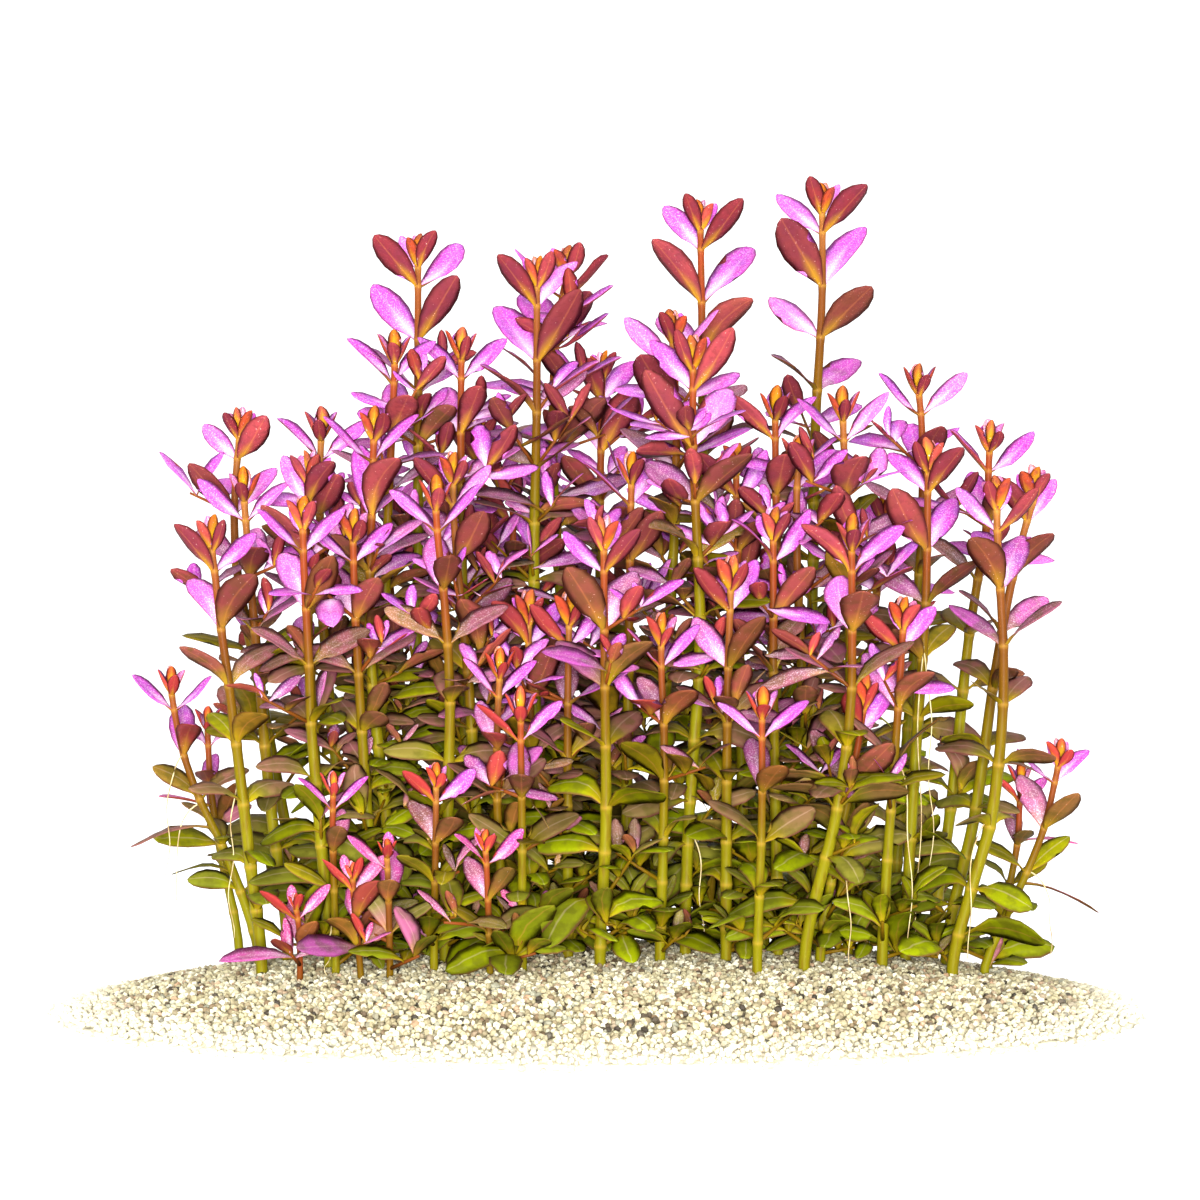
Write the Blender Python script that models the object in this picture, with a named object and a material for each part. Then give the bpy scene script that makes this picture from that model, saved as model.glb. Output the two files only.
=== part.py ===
"""A stand of rotala: rooted stems with paired leaves, growing in a low bed of sand.

Millimetres are used throughout and turned to metres where the meshes are made.
+X is right and +Y is away in the front view, and the floor is z = 0.
"""

import math
import random
from dataclasses import dataclass

import bmesh
import bpy
import numpy as np
from mathutils import Vector
from mathutils.bvhtree import BVHTree

MM = 0.001

# The sand bed: an oval mound with a flat underside.
BED_HALF_LENGTH = 131.0
BED_HALF_WIDTH = 70.0
BED_HEIGHT = 12.0
BED_LIP = 1.2
BED_SWELL = 3.0
BED_RINGS = (0.5, 0.8, 1.0)
BED_SECTORS = 24
ROOT_DEPTH = 6.0
POCKET_GAP = 0.3
POCKET_RISE = 8.0
COLLAR_RISE = 1.2

# The front view: where the eye stands, and the upright plane that it measures in.
EYE_DISTANCE = 545.0
EYE_HEIGHT = 100.0
PLANE_DEPTH = 15.0

# The stand opens like a fan from its feet, about this depth.
FAN_CENTRE = 15.0
FAN_SPREAD = 0.35
FAN_HEIGHT = 200.0

# Stems are square in section, from corner to axis.
STEM_TOP_RADIUS = 1.35
STEM_FOOT_RADIUS = 1.75
STEM_TAPER_LENGTH = 120.0
BARE_RING_STEP = 45.0

# Leaf pairs counted from the tip down: the gap above the pair, then the leaf's length and rise.
PAIR_GAPS = (9.5, 4.6, 14.0, 13.5, 14.0, 14.5, 15.0)
LEAF_LENGTHS = (10.5, 18.0, 23.0, 20.5, 19.0, 18.5, 18.0)
LEAF_RISES = (60.0, 45.0, 46.0, 36.0, 26.0, 14.0, 2.0)
LOWEST_RISE = -10.0
LEAF_WIDTH = 0.36
LEAF_THICKNESS = 0.04
LEAF_BASE_HEIGHT = 1.0
LENGTH_JITTER = 0.06
RISE_JITTER = 5.0
TURN_JITTER = 6.0
STEEPEST_RISE = 74.0
FRONT_FACING = 0.8
FRONT_OPENING = 0.45
SEED = 101

# A leaf's outline: shares of its length, and half its width there as a share of the width.
KITE_OUTLINE = ((0.55, 0.54),)
FULL_OUTLINE = ((0.34, 0.46), (0.74, 0.44))
FULL_PAIRS = (1, 2)
ENVELOPE_OUTLINE = ((0.34, 0.5), (0.74, 0.42))
ENVELOPE_START = 0.1
ENVELOPE_START_HALF = 0.1
ENVELOPE_TIP_HALF = 0.06

# Clearances that leaves keep from each other, from other stems and from the sand.
LEAF_MARGIN = 0.2
OWN_MARGIN = 0.05
STEM_MARGIN = 0.35
SAND_MARGIN = 0.8
STEM_SPACING = 4.4
SPACING_CHECKS = 40
TUBE_SECTIONS = 14
DEPTH_NUDGES = (0.0, 2.5, -2.5, 5.0, -5.0, 7.5, -7.5, 10.0, -10.0)
TURN_TRIES = (0.0, 13.0, -13.0, 26.0, -26.0)
RISE_TRIES = (0.0, 12.0, -12.0, 24.0)
LENGTH_TRIES = (1.0, 0.85, 0.7)

# Colours and roughness of the plain materials.
SAND_COLOUR = (0.78, 0.72, 0.6, 1.0)
SAND_ROUGHNESS = 0.95
PLANT_COLOUR = (0.62, 0.16, 0.5, 1.0)
PLANT_ROUGHNESS = 0.45


@dataclass(frozen=True)
class Plant:
    """One rooted stem, as the front view shows it, in millimetres.

    tip is the bud's top, via the stem's course below it, and foot where it enters the sand:
    x from the middle and height over the floor, both in the upright plane. depth is how far
    back its foot stands, turn the direction of its second leaf pair, leaf and gap its leaf
    length and pair spacing against the rule, and bare the height below which it has no leaves.
    """

    name: str
    tip: tuple
    via: tuple
    foot: float
    depth: float
    turn: float
    leaf: float = 1.0
    gap: float = 1.0
    bare: float = 40.0
    full: bool = False


TALL = (
    Plant("stem_tall_1", (-45.5, 192), ((-45.5, 137), (-45.8, 90)), -48.8, 30, 45, full=True, bare=80),
    Plant("stem_tall_2", (-15.8, 187), ((-15.8, 150), (-16.5, 110)), -15.0, 28, 40, full=True, bare=80),
    Plant("stem_tall_3", (25.0, 201), ((25.5, 167), (26, 125), (28.5, 80)), 30.0, 34, 135, full=True, bare=80),
    Plant("stem_tall_4", (55.5, 205), ((55.5, 175), (53.8, 142), (53, 95)), 50.0, 36, 135, full=True, bare=80),
    Plant("stem_tall_5", (-7.0, 189), ((-11, 165), (-11.8, 137), (-9.5, 95)), -4.0, 42, 30, bare=88),
    Plant("stem_tall_6", (17.0, 173), ((18.5, 160), (19, 130), (16.3, 75)), 13.0, 26, 150, bare=88),
    Plant("stem_tall_7", (23.3, 167), ((23.3, 137), (24.5, 110), (25, 87), (22.5, 50)), 21.3, 6, 140, full=True),
)

FRONT = (
    Plant("stem_front_1", (1, 122), ((1, 104), (1.3, 71), (1.5, 45)), 0.0, -10, 140, 0.85, full=True),
    Plant("stem_front_2", (62.8, 122), ((63, 95), (62.8, 76), (61.5, 62), (57.3, 37)), 51.0, -12, 5,
          0.85, full=True),
    Plant("stem_front_3", (40.5, 79), ((40.5, 63), (40.5, 48)), 39.3, -17, 8, 0.72, 0.9, 26),
    Plant("stem_front_4", (-19.8, 79), ((-19.8, 65), (-19.5, 45)), -19.5, -15, 3, 0.72, 0.95, 26),
    Plant("stem_front_5", (-41.5, 132), ((-40.8, 119), (-38.5, 95), (-37.5, 75), (-38, 50)), -38.8, -2,
          10, 0.8),
    Plant("stem_front_6", (-24.5, 89), ((-25.3, 77), (-25.8, 55)), -23.8, -5, 20, 0.7, 0.9),
    Plant("stem_front_7", (15.8, 98), ((15.3, 87), (16, 67), (15.8, 37)), 15.0, -4, 25, 0.72),
    Plant("stem_front_8", (67, 82), ((65.5, 70), (62, 50), (58, 30)), 55.0, 0, 40, 0.75),
    Plant("stem_front_9", (-29, 43), ((-28.3, 32),), -27.5, -20, 30, 0.6, 0.6, 15),
    Plant("stem_front_10", (-41, 60), ((-41, 49),), -41.5, -14, 25, 0.6, 0.7, 20),
    Plant("stem_front_11", (-66.5, 58), ((-66.8, 48),), -66.0, -13, 12, 0.6, 0.7, 20),
    Plant("stem_front_12", (-77, 27), ((-75.5, 20),), -75.0, -17, 20, 0.6, 0.45, 13),
    Plant("stem_front_13", (-62, 35), ((-61.5, 24),), -59.8, -20, 35, 0.6, 0.5, 14),
    Plant("stem_front_14", (-53.5, 41), ((-53, 30),), -52.5, -20, 5, 0.64, 0.55, 16),
)

LEFT = (
    Plant("stem_left_1", (-98.8, 122), ((-97, 112), (-95, 95), (-92.8, 79), (-87.5, 35)), -84.5, -5, 40,
          0.8, bare=26),
    Plant("stem_left_2", (-89.8, 134), ((-88.8, 123), (-88, 112), (-85, 79), (-83, 55)), -78.0, 12, 5, 0.8),
    Plant("stem_left_3", (-89.3, 149), ((-91.3, 126), (-91, 110), (-84.5, 75)), -74.0, 28, 140, 0.82),
    Plant("stem_left_4", (-69.3, 149), ((-70, 132), (-69.5, 100)), -62.0, 22, 5, 0.85, bare=70),
    Plant("stem_left_5", (-74.5, 127), ((-74, 107), (-73, 90), (-72.3, 70), (-69.5, 37)), -67.5, -4, 35,
          0.8, bare=26),
    Plant("stem_left_6", (-72, 138), ((-73.3, 120), (-72.8, 90), (-70.5, 50)), -66.0, 9, 130, 0.82),
    Plant("stem_left_7", (-62, 124), ((-61.3, 100),), -56.5, 4, 30, 0.8),
    Plant("stem_left_8", (-108, 84), ((-107, 76), (-105, 65), (-101.3, 53), (-97, 44), (-92, 33)), -85.0,
          8, 15, 0.68, 0.8, 26),
    Plant("stem_left_9", (-98.3, 74), ((-98, 65), (-97, 50)), -90.0, 22, 5, 0.5, 0.75, 34),
)

RIGHT = (
    Plant("stem_right_1", (99, 132), ((99.5, 112), (100.8, 90), (100.8, 75), (97.3, 43), (93.5, 30)),
          88.0, -5, 145, 0.82, bare=26),
    Plant("stem_right_2", (98, 146), ((97.3, 136), (96.3, 115), (93.5, 100), (87.8, 49)), 83.0, 24, 5,
          0.82),
    Plant("stem_right_3", (111.3, 134), ((106, 117), (102, 100), (98.5, 80), (94, 48)), 86.5, 10, 35, 0.78),
    Plant("stem_right_4", (82.5, 141), ((82, 129), (81.5, 100), (78.8, 60)), 76.3, 12, 140, 0.85),
    Plant("stem_right_5", (78.8, 160), ((80.5, 142), (80, 110)), 73.0, 30, 8, 0.85, bare=70),
    Plant("stem_right_6", (116, 66), ((113.8, 55), (111.3, 44), (106.3, 31)), 96.0, 2, 20, 0.68, 0.8, 22),
    Plant("stem_right_7", (105.5, 60), ((104.8, 47), (103.8, 35)), 97.0, 14, 5, 0.5, 0.75, 26),
    Plant("stem_right_8", (60.5, 154), ((60.8, 143), (61.3, 131), (62.5, 95)), 62.0, 14, 3, 0.85, bare=62),
    Plant("stem_right_9", (43.8, 154), ((43.8, 145), (44, 126), (44.5, 95)), 41.0, 22, 10, 0.85, bare=70),
    Plant("stem_right_10", (43.3, 124), ((43.3, 100), (43.5, 70)), 44.5, 8, 35, 0.82),
    Plant("stem_right_11", (51, 142), ((49.5, 132), (49.3, 110)), 54.5, 18, 20, 0.82, bare=88),
    Plant("stem_right_12", (76.3, 102), ((75, 80),), 70.5, -2, 30, 0.78, bare=50),
)

MIDDLE = (
    Plant("stem_middle_1", (-51.3, 168), ((-51.3, 160), (-52.3, 137), (-53.8, 100)), -56.0, 22, 5, 0.85,
          bare=70),
    Plant("stem_middle_2", (-34.5, 169), ((-34.8, 145), (-34.3, 100)), -33.0, 26, 15, 0.85, bare=70),
    Plant("stem_middle_3", (-37, 138), ((-36.5, 120), (-32.5, 75)), -30.0, 12, 35, 0.82),
    Plant("stem_middle_4", (-56.3, 149), ((-57, 125), (-57.5, 90)), -50.5, 12, 30, 0.85, bare=62),
    Plant("stem_middle_5", (-17.8, 103), ((-17.8, 87), (-16.8, 60)), -12.5, 8, 45, 0.78),
    Plant("stem_middle_6", (8, 138), ((7.5, 110),), 6.5, 14, 25, 0.85, bare=40),
    Plant("stem_middle_7", (33.8, 140), ((34.5, 110),), 36.0, 22, 40, 0.85, bare=90),
    Plant("stem_middle_8", (-7.5, 103), ((-8, 80),), -8.0, 2, 30, 0.78, bare=50),
    Plant("stem_middle_9", (33, 112), ((32, 80),), 31.5, -2, 30, 0.8),
)

BACK = (
    Plant("stem_back_1", (0.8, 163), ((0.3, 142), (0, 100)), 4.0, 48, 40, 0.85, bare=88),
    Plant("stem_back_2", (-30, 147), ((-30, 125),), -26.0, 44, 60, 0.85, bare=88),
    Plant("stem_back_3", (-54, 134), ((-53, 110),), -43.0, 44, 30, 0.85, bare=88),
    Plant("stem_back_4", (-22, 132), ((-21.5, 105),), -18.0, 38, 30, 0.85, bare=88),
    Plant("stem_back_5", (72, 128), ((69, 100),), 62.0, 44, 130, 0.85, bare=88),
)

PLANTS = TALL + FRONT + LEFT + RIGHT + MIDDLE + BACK


def bed_height(x, y):
    """Height of the sand at a place: highest in the middle, sloping to a thin lip."""
    reach = min(1.0, math.hypot(x / BED_HALF_LENGTH, y / BED_HALF_WIDTH))
    return BED_LIP + (BED_HEIGHT - BED_LIP) * (1.0 - reach ** BED_SWELL)


def from_front_view(seen_x, seen_z, foot_depth):
    """Turn a place measured in the front view's plane to its true place at its own depth."""
    depth = FAN_CENTRE + (foot_depth - FAN_CENTRE) * (1.0 + FAN_SPREAD * seen_z / FAN_HEIGHT)
    scale = (EYE_DISTANCE + depth) / (EYE_DISTANCE + PLANE_DEPTH)
    return np.array([seen_x * scale, depth, EYE_HEIGHT + (seen_z - EYE_HEIGHT) * scale])


class Stem:
    """The course of a stem: a smooth line down from the tip, upright where it enters the sand."""

    def __init__(self, plant, nudge):
        self.plant = plant
        depth = plant.depth + nudge
        foot_scale = (EYE_DISTANCE + depth) / (EYE_DISTANCE + PLANE_DEPTH)
        foot_x = plant.foot * foot_scale
        sand = bed_height(foot_x, depth)
        points = [from_front_view(x, z, depth) for x, z in (plant.tip,) + plant.via]
        points.append(np.array([foot_x, depth, sand + COLLAR_RISE]))
        self.points = np.array(points)
        self.sand = sand
        self.bottom = np.array([foot_x, depth, sand - ROOT_DEPTH])
        runs = np.diff(self.points, axis=0)
        slopes = runs / runs[:, 2:3]
        inner = 0.5 * (slopes[:-1] + slopes[1:])
        self.slopes = np.vstack([slopes[:1], inner, slopes[-1:] * 0.5])
        self.turn = math.radians(plant.turn)
        self.top = self.points[0][2]

    def at(self, z):
        """The axis at a height, by a cubic between the two points around it."""
        if z <= self.points[-1][2]:
            return np.array([self.bottom[0], self.bottom[1], z])
        span = 0
        while z < self.points[span + 1][2]:
            span += 1
        high, low = self.points[span], self.points[span + 1]
        run = low[2] - high[2]
        t = (z - high[2]) / run
        blend = 3 * t * t - 2 * t * t * t
        place = high + (low - high) * blend
        place += self.slopes[span] * run * (t - 2 * t * t + t * t * t)
        place += self.slopes[span + 1] * run * (t * t * t - t * t)
        place[2] = z
        return place

    def radius(self, z):
        """Corner radius at a height: thin under the tip, thicker with age."""
        age = min(1.0, (self.top - z) / STEM_TAPER_LENGTH)
        return STEM_TOP_RADIUS + (STEM_FOOT_RADIUS - STEM_TOP_RADIUS) * age

    def pair_heights(self):
        """Heights of the leaf pairs from the tip down to where the stem is bare."""
        heights = []
        z = self.top
        while True:
            gap = PAIR_GAPS[min(len(heights), len(PAIR_GAPS) - 1)] * self.plant.gap
            z -= gap
            if z < self.plant.bare:
                return heights
            heights.append(z)

    def corners(self, z, margin=0.0):
        """The four corners of the square section at a height."""
        centre = self.at(z)
        radius = self.radius(z) + margin
        angles = self.turn - math.pi / 4 + np.arange(4) * math.pi / 2
        ring = np.column_stack([np.cos(angles), np.sin(angles), np.zeros(4)])
        return centre + radius * ring


@dataclass
class Leaf:
    """One leaf: which pair and side it grows from, its base, direction and size."""

    pair: int
    side: int
    base: np.ndarray
    azimuth: float
    rise: float
    length: float

    def axes(self):
        """Unit vectors along the leaf, across it and up from its upper face."""
        level = np.array([math.cos(self.azimuth), math.sin(self.azimuth), 0.0])
        along = level * math.cos(self.rise) + np.array([0.0, 0.0, math.sin(self.rise)])
        across = np.array([-level[1], level[0], 0.0])
        return along, across, np.cross(along, across)

    def point(self, along_share, across_share, lift):
        """A place on the leaf: shares of its length and of its width, and a height over it."""
        along, across, up = self.axes()
        width = self.length * LEAF_WIDTH
        return self.base + along * self.length * along_share + across * width * across_share + up * lift

    def envelope(self, start, margin):
        """A thin closed slab around the leaf, with the margin on every side."""
        thickness = self.length * LEAF_THICKNESS
        side = margin / (self.length * LEAF_WIDTH)
        first = (start, ENVELOPE_START_HALF)
        last = (1.0 + margin / self.length, ENVELOPE_TIP_HALF)
        rows = []
        for along_share, half in (first,) + ENVELOPE_OUTLINE + (last,):
            for lift in (-margin, thickness + margin):
                rows.append(self.point(along_share, -(half + side), lift))
                rows.append(self.point(along_share, half + side, lift))
        return np.array(rows)


def slab_faces(sections):
    """Faces of a closed slab whose sections are each two low points then two high ones."""
    faces = [(0, 2, 3, 1)]
    for index in range(sections - 1):
        a = index * 4
        b = a + 4
        faces += [(a, a + 1, b + 1, b), (a + 2, b + 2, b + 3, a + 3), (a, b, b + 2, a + 2),
                  (a + 1, a + 3, b + 3, b + 1)]
    last = (sections - 1) * 4
    faces.append((last, last + 1, last + 3, last + 2))
    return faces


SLAB_FACES = slab_faces(4)


class Neighbours:
    """What already stands in the stand, as closed envelopes that can be tested for touching."""

    def __init__(self):
        self.trees = []
        self.lows = []
        self.highs = []
        self.owners = []
        self.kinds = []

    def add(self, points, faces, owner, kind):
        self.trees.append(BVHTree.FromPolygons([Vector(p) for p in points], faces))
        self.lows.append(points.min(axis=0))
        self.highs.append(points.max(axis=0))
        self.owners.append(owner)
        self.kinds.append(kind)

    def touches(self, points, faces, owner, kind, own):
        """Whether an envelope meets others: those of its own plant, or those of the rest."""
        low = points.min(axis=0)
        high = points.max(axis=0)
        lows = np.array(self.lows)
        highs = np.array(self.highs)
        near = np.all(lows < high, axis=1) & np.all(highs > low, axis=1)
        tree = None
        for index in np.flatnonzero(near):
            if (self.owners[index] == owner) != own:
                continue
            if self.kinds[index] != kind:
                continue
            if tree is None:
                tree = BVHTree.FromPolygons([Vector(p) for p in points], faces)
            if tree.overlap(self.trees[index]):
                return True
        return False


def place_stems():
    """Stand every stem in the bed, a little nearer or further where it would meet another."""
    stems = []
    for plant in PLANTS:
        for nudge in DEPTH_NUDGES:
            stem = Stem(plant, nudge)
            if all(stems_clear(stem, other) for other in stems):
                break
        stems.append(stem)
    return stems


def stems_clear(one, other):
    """Whether two stems keep their spacing at every height."""
    heights = np.linspace(min(one.top, other.top), min(one.sand, other.sand), SPACING_CHECKS)
    for z in heights:
        gap = one.at(z) - other.at(z)
        if math.hypot(gap[0], gap[1]) < STEM_SPACING:
            return False
    return True


def tube_envelope(stem):
    """The stem's own closed envelope, from its tip to the sand."""
    heights = np.linspace(stem.top, stem.sand, TUBE_SECTIONS)
    rings = [stem.corners(z, margin=STEM_MARGIN) for z in heights]
    faces = [(0, 1, 2, 3)]
    for index in range(len(rings) - 1):
        a = index * 4
        for k in range(4):
            n = (k + 1) % 4
            faces.append((a + k, a + 4 + k, a + 4 + n, a + n))
    last = (len(rings) - 1) * 4
    faces.append((last + 3, last + 2, last + 1, last))
    return np.vstack(rings), faces


def grow_leaves(stems):
    """Give each stem its crossed leaf pairs, each leaf bent or shortened to clear the others."""
    neighbours = Neighbours()
    for owner, stem in enumerate(stems):
        points, faces = tube_envelope(stem)
        neighbours.add(points, faces, owner, "stem")
    grown = []
    for owner, stem in enumerate(stems):
        chance = random.Random(SEED + owner)
        leaves = []
        for pair, height in enumerate(stem.pair_heights()):
            rank = min(pair, len(LEAF_LENGTHS) - 1)
            rise = LEAF_RISES[rank]
            if pair >= len(LEAF_RISES):
                rise = LOWEST_RISE
            for half in range(2):
                side = (1 + pair + 2 * half) % 4
                leaf = wanted_leaf(stem, chance, pair, side, height, LEAF_LENGTHS[rank], rise)
                leaf = clear_leaf(leaf, neighbours, owner)
                if leaf is not None:
                    leaves.append(leaf)
                    envelope = leaf.envelope(ENVELOPE_START, LEAF_MARGIN)
                    neighbours.add(envelope, SLAB_FACES, owner, "leaf")
        grown.append(leaves)
    return grown


def wanted_leaf(stem, chance, pair, side, height, length, rise):
    """The leaf as the rule gives it, with a little chance in its length and direction."""
    corners = stem.corners(height)
    base = 0.5 * (corners[side] + corners[(side + 1) % 4])
    azimuth = stem.turn + side * math.pi / 2
    azimuth += math.radians(chance.uniform(-TURN_JITTER, TURN_JITTER))
    rise = math.radians(rise + chance.uniform(-RISE_JITTER, RISE_JITTER)) * front_share(azimuth)
    length = length * stem.plant.leaf * (1.0 + chance.uniform(-LENGTH_JITTER, LENGTH_JITTER))
    return Leaf(pair, side, base, azimuth, rise, length)


def front_share(azimuth):
    """Share of its rise that a leaf keeps: those that point to the front open wider to the light."""
    facing = (-math.sin(azimuth) - FRONT_FACING) / (1.0 - FRONT_FACING)
    return 1.0 - FRONT_OPENING * max(0.0, facing)


def clear_leaf(leaf, neighbours, owner):
    """The first of the leaf's own variations that meets nothing, or None."""
    for share in LENGTH_TRIES:
        for lift in RISE_TRIES:
            for swing in TURN_TRIES:
                rise = min(leaf.rise + math.radians(lift), math.radians(STEEPEST_RISE))
                tried = Leaf(leaf.pair, leaf.side, leaf.base, leaf.azimuth + math.radians(swing), rise,
                             leaf.length * share)
                outer = tried.envelope(ENVELOPE_START, LEAF_MARGIN)
                if any(p[2] < bed_height(p[0], p[1]) + SAND_MARGIN for p in outer):
                    continue
                if neighbours.touches(outer, SLAB_FACES, owner, "leaf", False):
                    continue
                if neighbours.touches(outer, SLAB_FACES, owner, "stem", False):
                    continue
                inner = tried.envelope(ENVELOPE_START, OWN_MARGIN)
                if neighbours.touches(inner, SLAB_FACES, owner, "leaf", True):
                    continue
                return tried
    return None


def add_points(shape, points):
    """Add a row of points to the mesh, in metres."""
    return [shape.verts.new(Vector(p) * MM) for p in points]


def add_leaf(shape, leaf, left, right, crown, origin, full):
    """Grow a leaf out of the stem's face: keeled below, flat above, pointed at its tip.

    left and right are the stem corners at its base and crown is the point over them.
    """
    lift = leaf.length * LEAF_THICKNESS
    tip = add_points(shape, [leaf.point(1.0, 0.0, 0.0) - origin])[0]
    stations = FULL_OUTLINE if full else KITE_OUTLINE
    lefts = add_points(shape, [leaf.point(s, -half, lift) - origin for s, half in stations])
    rights = add_points(shape, [leaf.point(s, half, lift) - origin for s, half in stations])
    shape.faces.new((left, right, tip))
    shape.faces.new((right, crown, rights[0]))
    shape.faces.new((crown, left, lefts[0]))
    shape.faces.new((right, rights[0], tip))
    shape.faces.new((left, tip, lefts[0]))
    shape.faces.new((crown, lefts[0], rights[0]))
    if full:
        shape.faces.new((rights[0], rights[1], tip))
        shape.faces.new((lefts[0], tip, lefts[1]))
        shape.faces.new((rights[0], lefts[0], rights[1]))
        shape.faces.new((rights[1], lefts[0], lefts[1]))
    shape.faces.new((rights[-1], lefts[-1], tip))


def build_plant(stem, leaves):
    """One plant as one closed body: square stem, swollen bud and its leaf pairs."""
    shape = bmesh.new()
    origin = stem.bottom
    by_place = {(leaf.pair, leaf.side): leaf for leaf in leaves}
    pairs = stem.pair_heights()
    used = [index for index in range(len(pairs)) if any(key[0] == index for key in by_place)]
    if 0 not in used:
        used.insert(0, 0)
    rings = [(index, stem.corners(pairs[index])) for index in used]
    collar = stem.points[-1][2]
    bare_run = pairs[used[-1]] - collar
    bare_rings = int(bare_run // BARE_RING_STEP)
    for k in range(bare_rings):
        z = pairs[used[-1]] - bare_run * (k + 1) / (bare_rings + 1)
        rings.append((None, stem.corners(z)))
    rings.append((None, stem.corners(collar)))
    rings.append((None, stem.corners(stem.bottom[2])))
    tip = add_points(shape, [stem.at(stem.top) - origin])[0]
    upper = None
    for index, corners in rings:
        ring = add_points(shape, corners - origin)
        for k in range(4):
            n = (k + 1) % 4
            leaf = None
            if index is not None:
                leaf = by_place.get((index, k))
            above = [tip] if upper is None else [upper[n], upper[k]]
            if leaf is None:
                shape.faces.new([ring[k], ring[n]] + above)
                continue
            low = (ring[k].co + ring[n].co) / 2
            high = (above[0].co + above[-1].co) / 2
            crown = shape.verts.new(low + (high - low).normalized() * LEAF_BASE_HEIGHT * MM)
            shape.faces.new((ring[k], crown, above[-1]))
            shape.faces.new((ring[n], above[0], crown))
            if upper is not None:
                shape.faces.new((crown, above[0], above[1]))
            full = stem.plant.full and index in FULL_PAIRS
            add_leaf(shape, leaf, ring[k], ring[n], crown, origin, full)
        upper = ring
    shape.faces.new((upper[3], upper[2], upper[1], upper[0]))
    bmesh.ops.triangulate(shape, faces=shape.faces[:])
    return shape


def add_object(name, shape, place, parent, colour, roughness):
    """Make an object of a mesh, with its own material, at its place under the stand."""
    mesh = bpy.data.meshes.new(name)
    shape.to_mesh(mesh)
    shape.free()
    thing = bpy.data.objects.new(name, mesh)
    thing.location = Vector(place) * MM
    thing.parent = parent
    bpy.context.scene.collection.objects.link(thing)
    material = bpy.data.materials.new(name)
    material.use_nodes = True
    surface = material.node_tree.nodes["Principled BSDF"]
    surface.inputs["Base Color"].default_value = colour
    surface.inputs["Roughness"].default_value = roughness
    mesh.materials.append(material)
    return thing


def build_bed():
    """The sand bed: rings of points up the mound, a lip around it and a flat underside."""
    shape = bmesh.new()
    angles = np.arange(BED_SECTORS) * 2 * math.pi / BED_SECTORS
    peak = shape.verts.new(Vector((0, 0, BED_HEIGHT)) * MM)
    rings = []
    for reach in BED_RINGS:
        x = BED_HALF_LENGTH * reach * np.cos(angles)
        y = BED_HALF_WIDTH * reach * np.sin(angles)
        rings.append(add_points(shape, [(a, b, bed_height(a, b)) for a, b in zip(x, y)]))
    underside = add_points(shape, [(v.co.x / MM, v.co.y / MM, 0.0) for v in rings[-1]])
    for k in range(BED_SECTORS):
        n = (k + 1) % BED_SECTORS
        shape.faces.new((peak, rings[0][k], rings[0][n]))
        for inner, outer in zip(rings[:-1], rings[1:]):
            shape.faces.new((inner[k], outer[k], outer[n], inner[n]))
        shape.faces.new((rings[-1][k], underside[k], underside[n], rings[-1][n]))
    shape.faces.new(list(reversed(underside)))
    bmesh.ops.triangulate(shape, faces=shape.faces[:])
    return shape


def build_pockets(stems):
    """The holes that the stems stand in: square prisms, a little larger than the stems."""
    shape = bmesh.new()
    for stem in stems:
        low = stem.bottom[2] - POCKET_GAP
        high = stem.sand + POCKET_RISE
        room = POCKET_GAP * math.sqrt(2.0)
        corners = stem.corners(stem.bottom[2], margin=room)
        bottom = add_points(shape, [(p[0], p[1], low) for p in corners])
        top = add_points(shape, [(p[0], p[1], high) for p in corners])
        shape.faces.new((bottom[3], bottom[2], bottom[1], bottom[0]))
        shape.faces.new(top)
        for k in range(4):
            n = (k + 1) % 4
            shape.faces.new((bottom[k], bottom[n], top[n], top[k]))
    return shape


def build_stand():
    """The whole stand: the bed with its pockets, then every plant in its own."""
    stand = bpy.data.objects.new("rotala", None)
    bpy.context.scene.collection.objects.link(stand)
    stems = place_stems()
    bed = add_object("sand_bed", build_bed(), (0, 0, 0), stand, SAND_COLOUR, SAND_ROUGHNESS)
    pockets = add_object("pockets", build_pockets(stems), (0, 0, 0), stand, SAND_COLOUR, SAND_ROUGHNESS)
    pockets.hide_render = True
    pockets.display_type = "WIRE"
    cut = bed.modifiers.new("pockets", "BOOLEAN")
    cut.operation = "DIFFERENCE"
    cut.solver = "EXACT"
    cut.object = pockets
    for stem, leaves in zip(stems, grow_leaves(stems)):
        shape = build_plant(stem, leaves)
        add_object(stem.plant.name, shape, stem.bottom, stand, PLANT_COLOUR, PLANT_ROUGHNESS)


for thing in list(bpy.data.objects):
    bpy.data.objects.remove(thing, do_unlink=True)
build_stand()
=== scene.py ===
"""Dress a stand of rotala: curved leaves, ringed stems, buds, hair roots and loose sand grains.

Each plant is grown over its own solid of the frame. Its stem follows the solid's rings, and each
leaf runs from where the solid's leaf leaves the stem to that leaf's tip. Older leaves, side shoots
and upright branches fill the stand where nothing else grows. Lengths are metres; a number times MM
is in millimetres. +X is right and +Y is away in the front view, and the floor is z = 0.
"""

import logging
import math
from dataclasses import dataclass, field, replace
from enum import Enum, IntEnum
from functools import reduce
from itertools import product
from typing import ClassVar

import bmesh
import bpy
import numpy as np
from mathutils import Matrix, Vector
from mathutils.bvhtree import BVHTree


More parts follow.
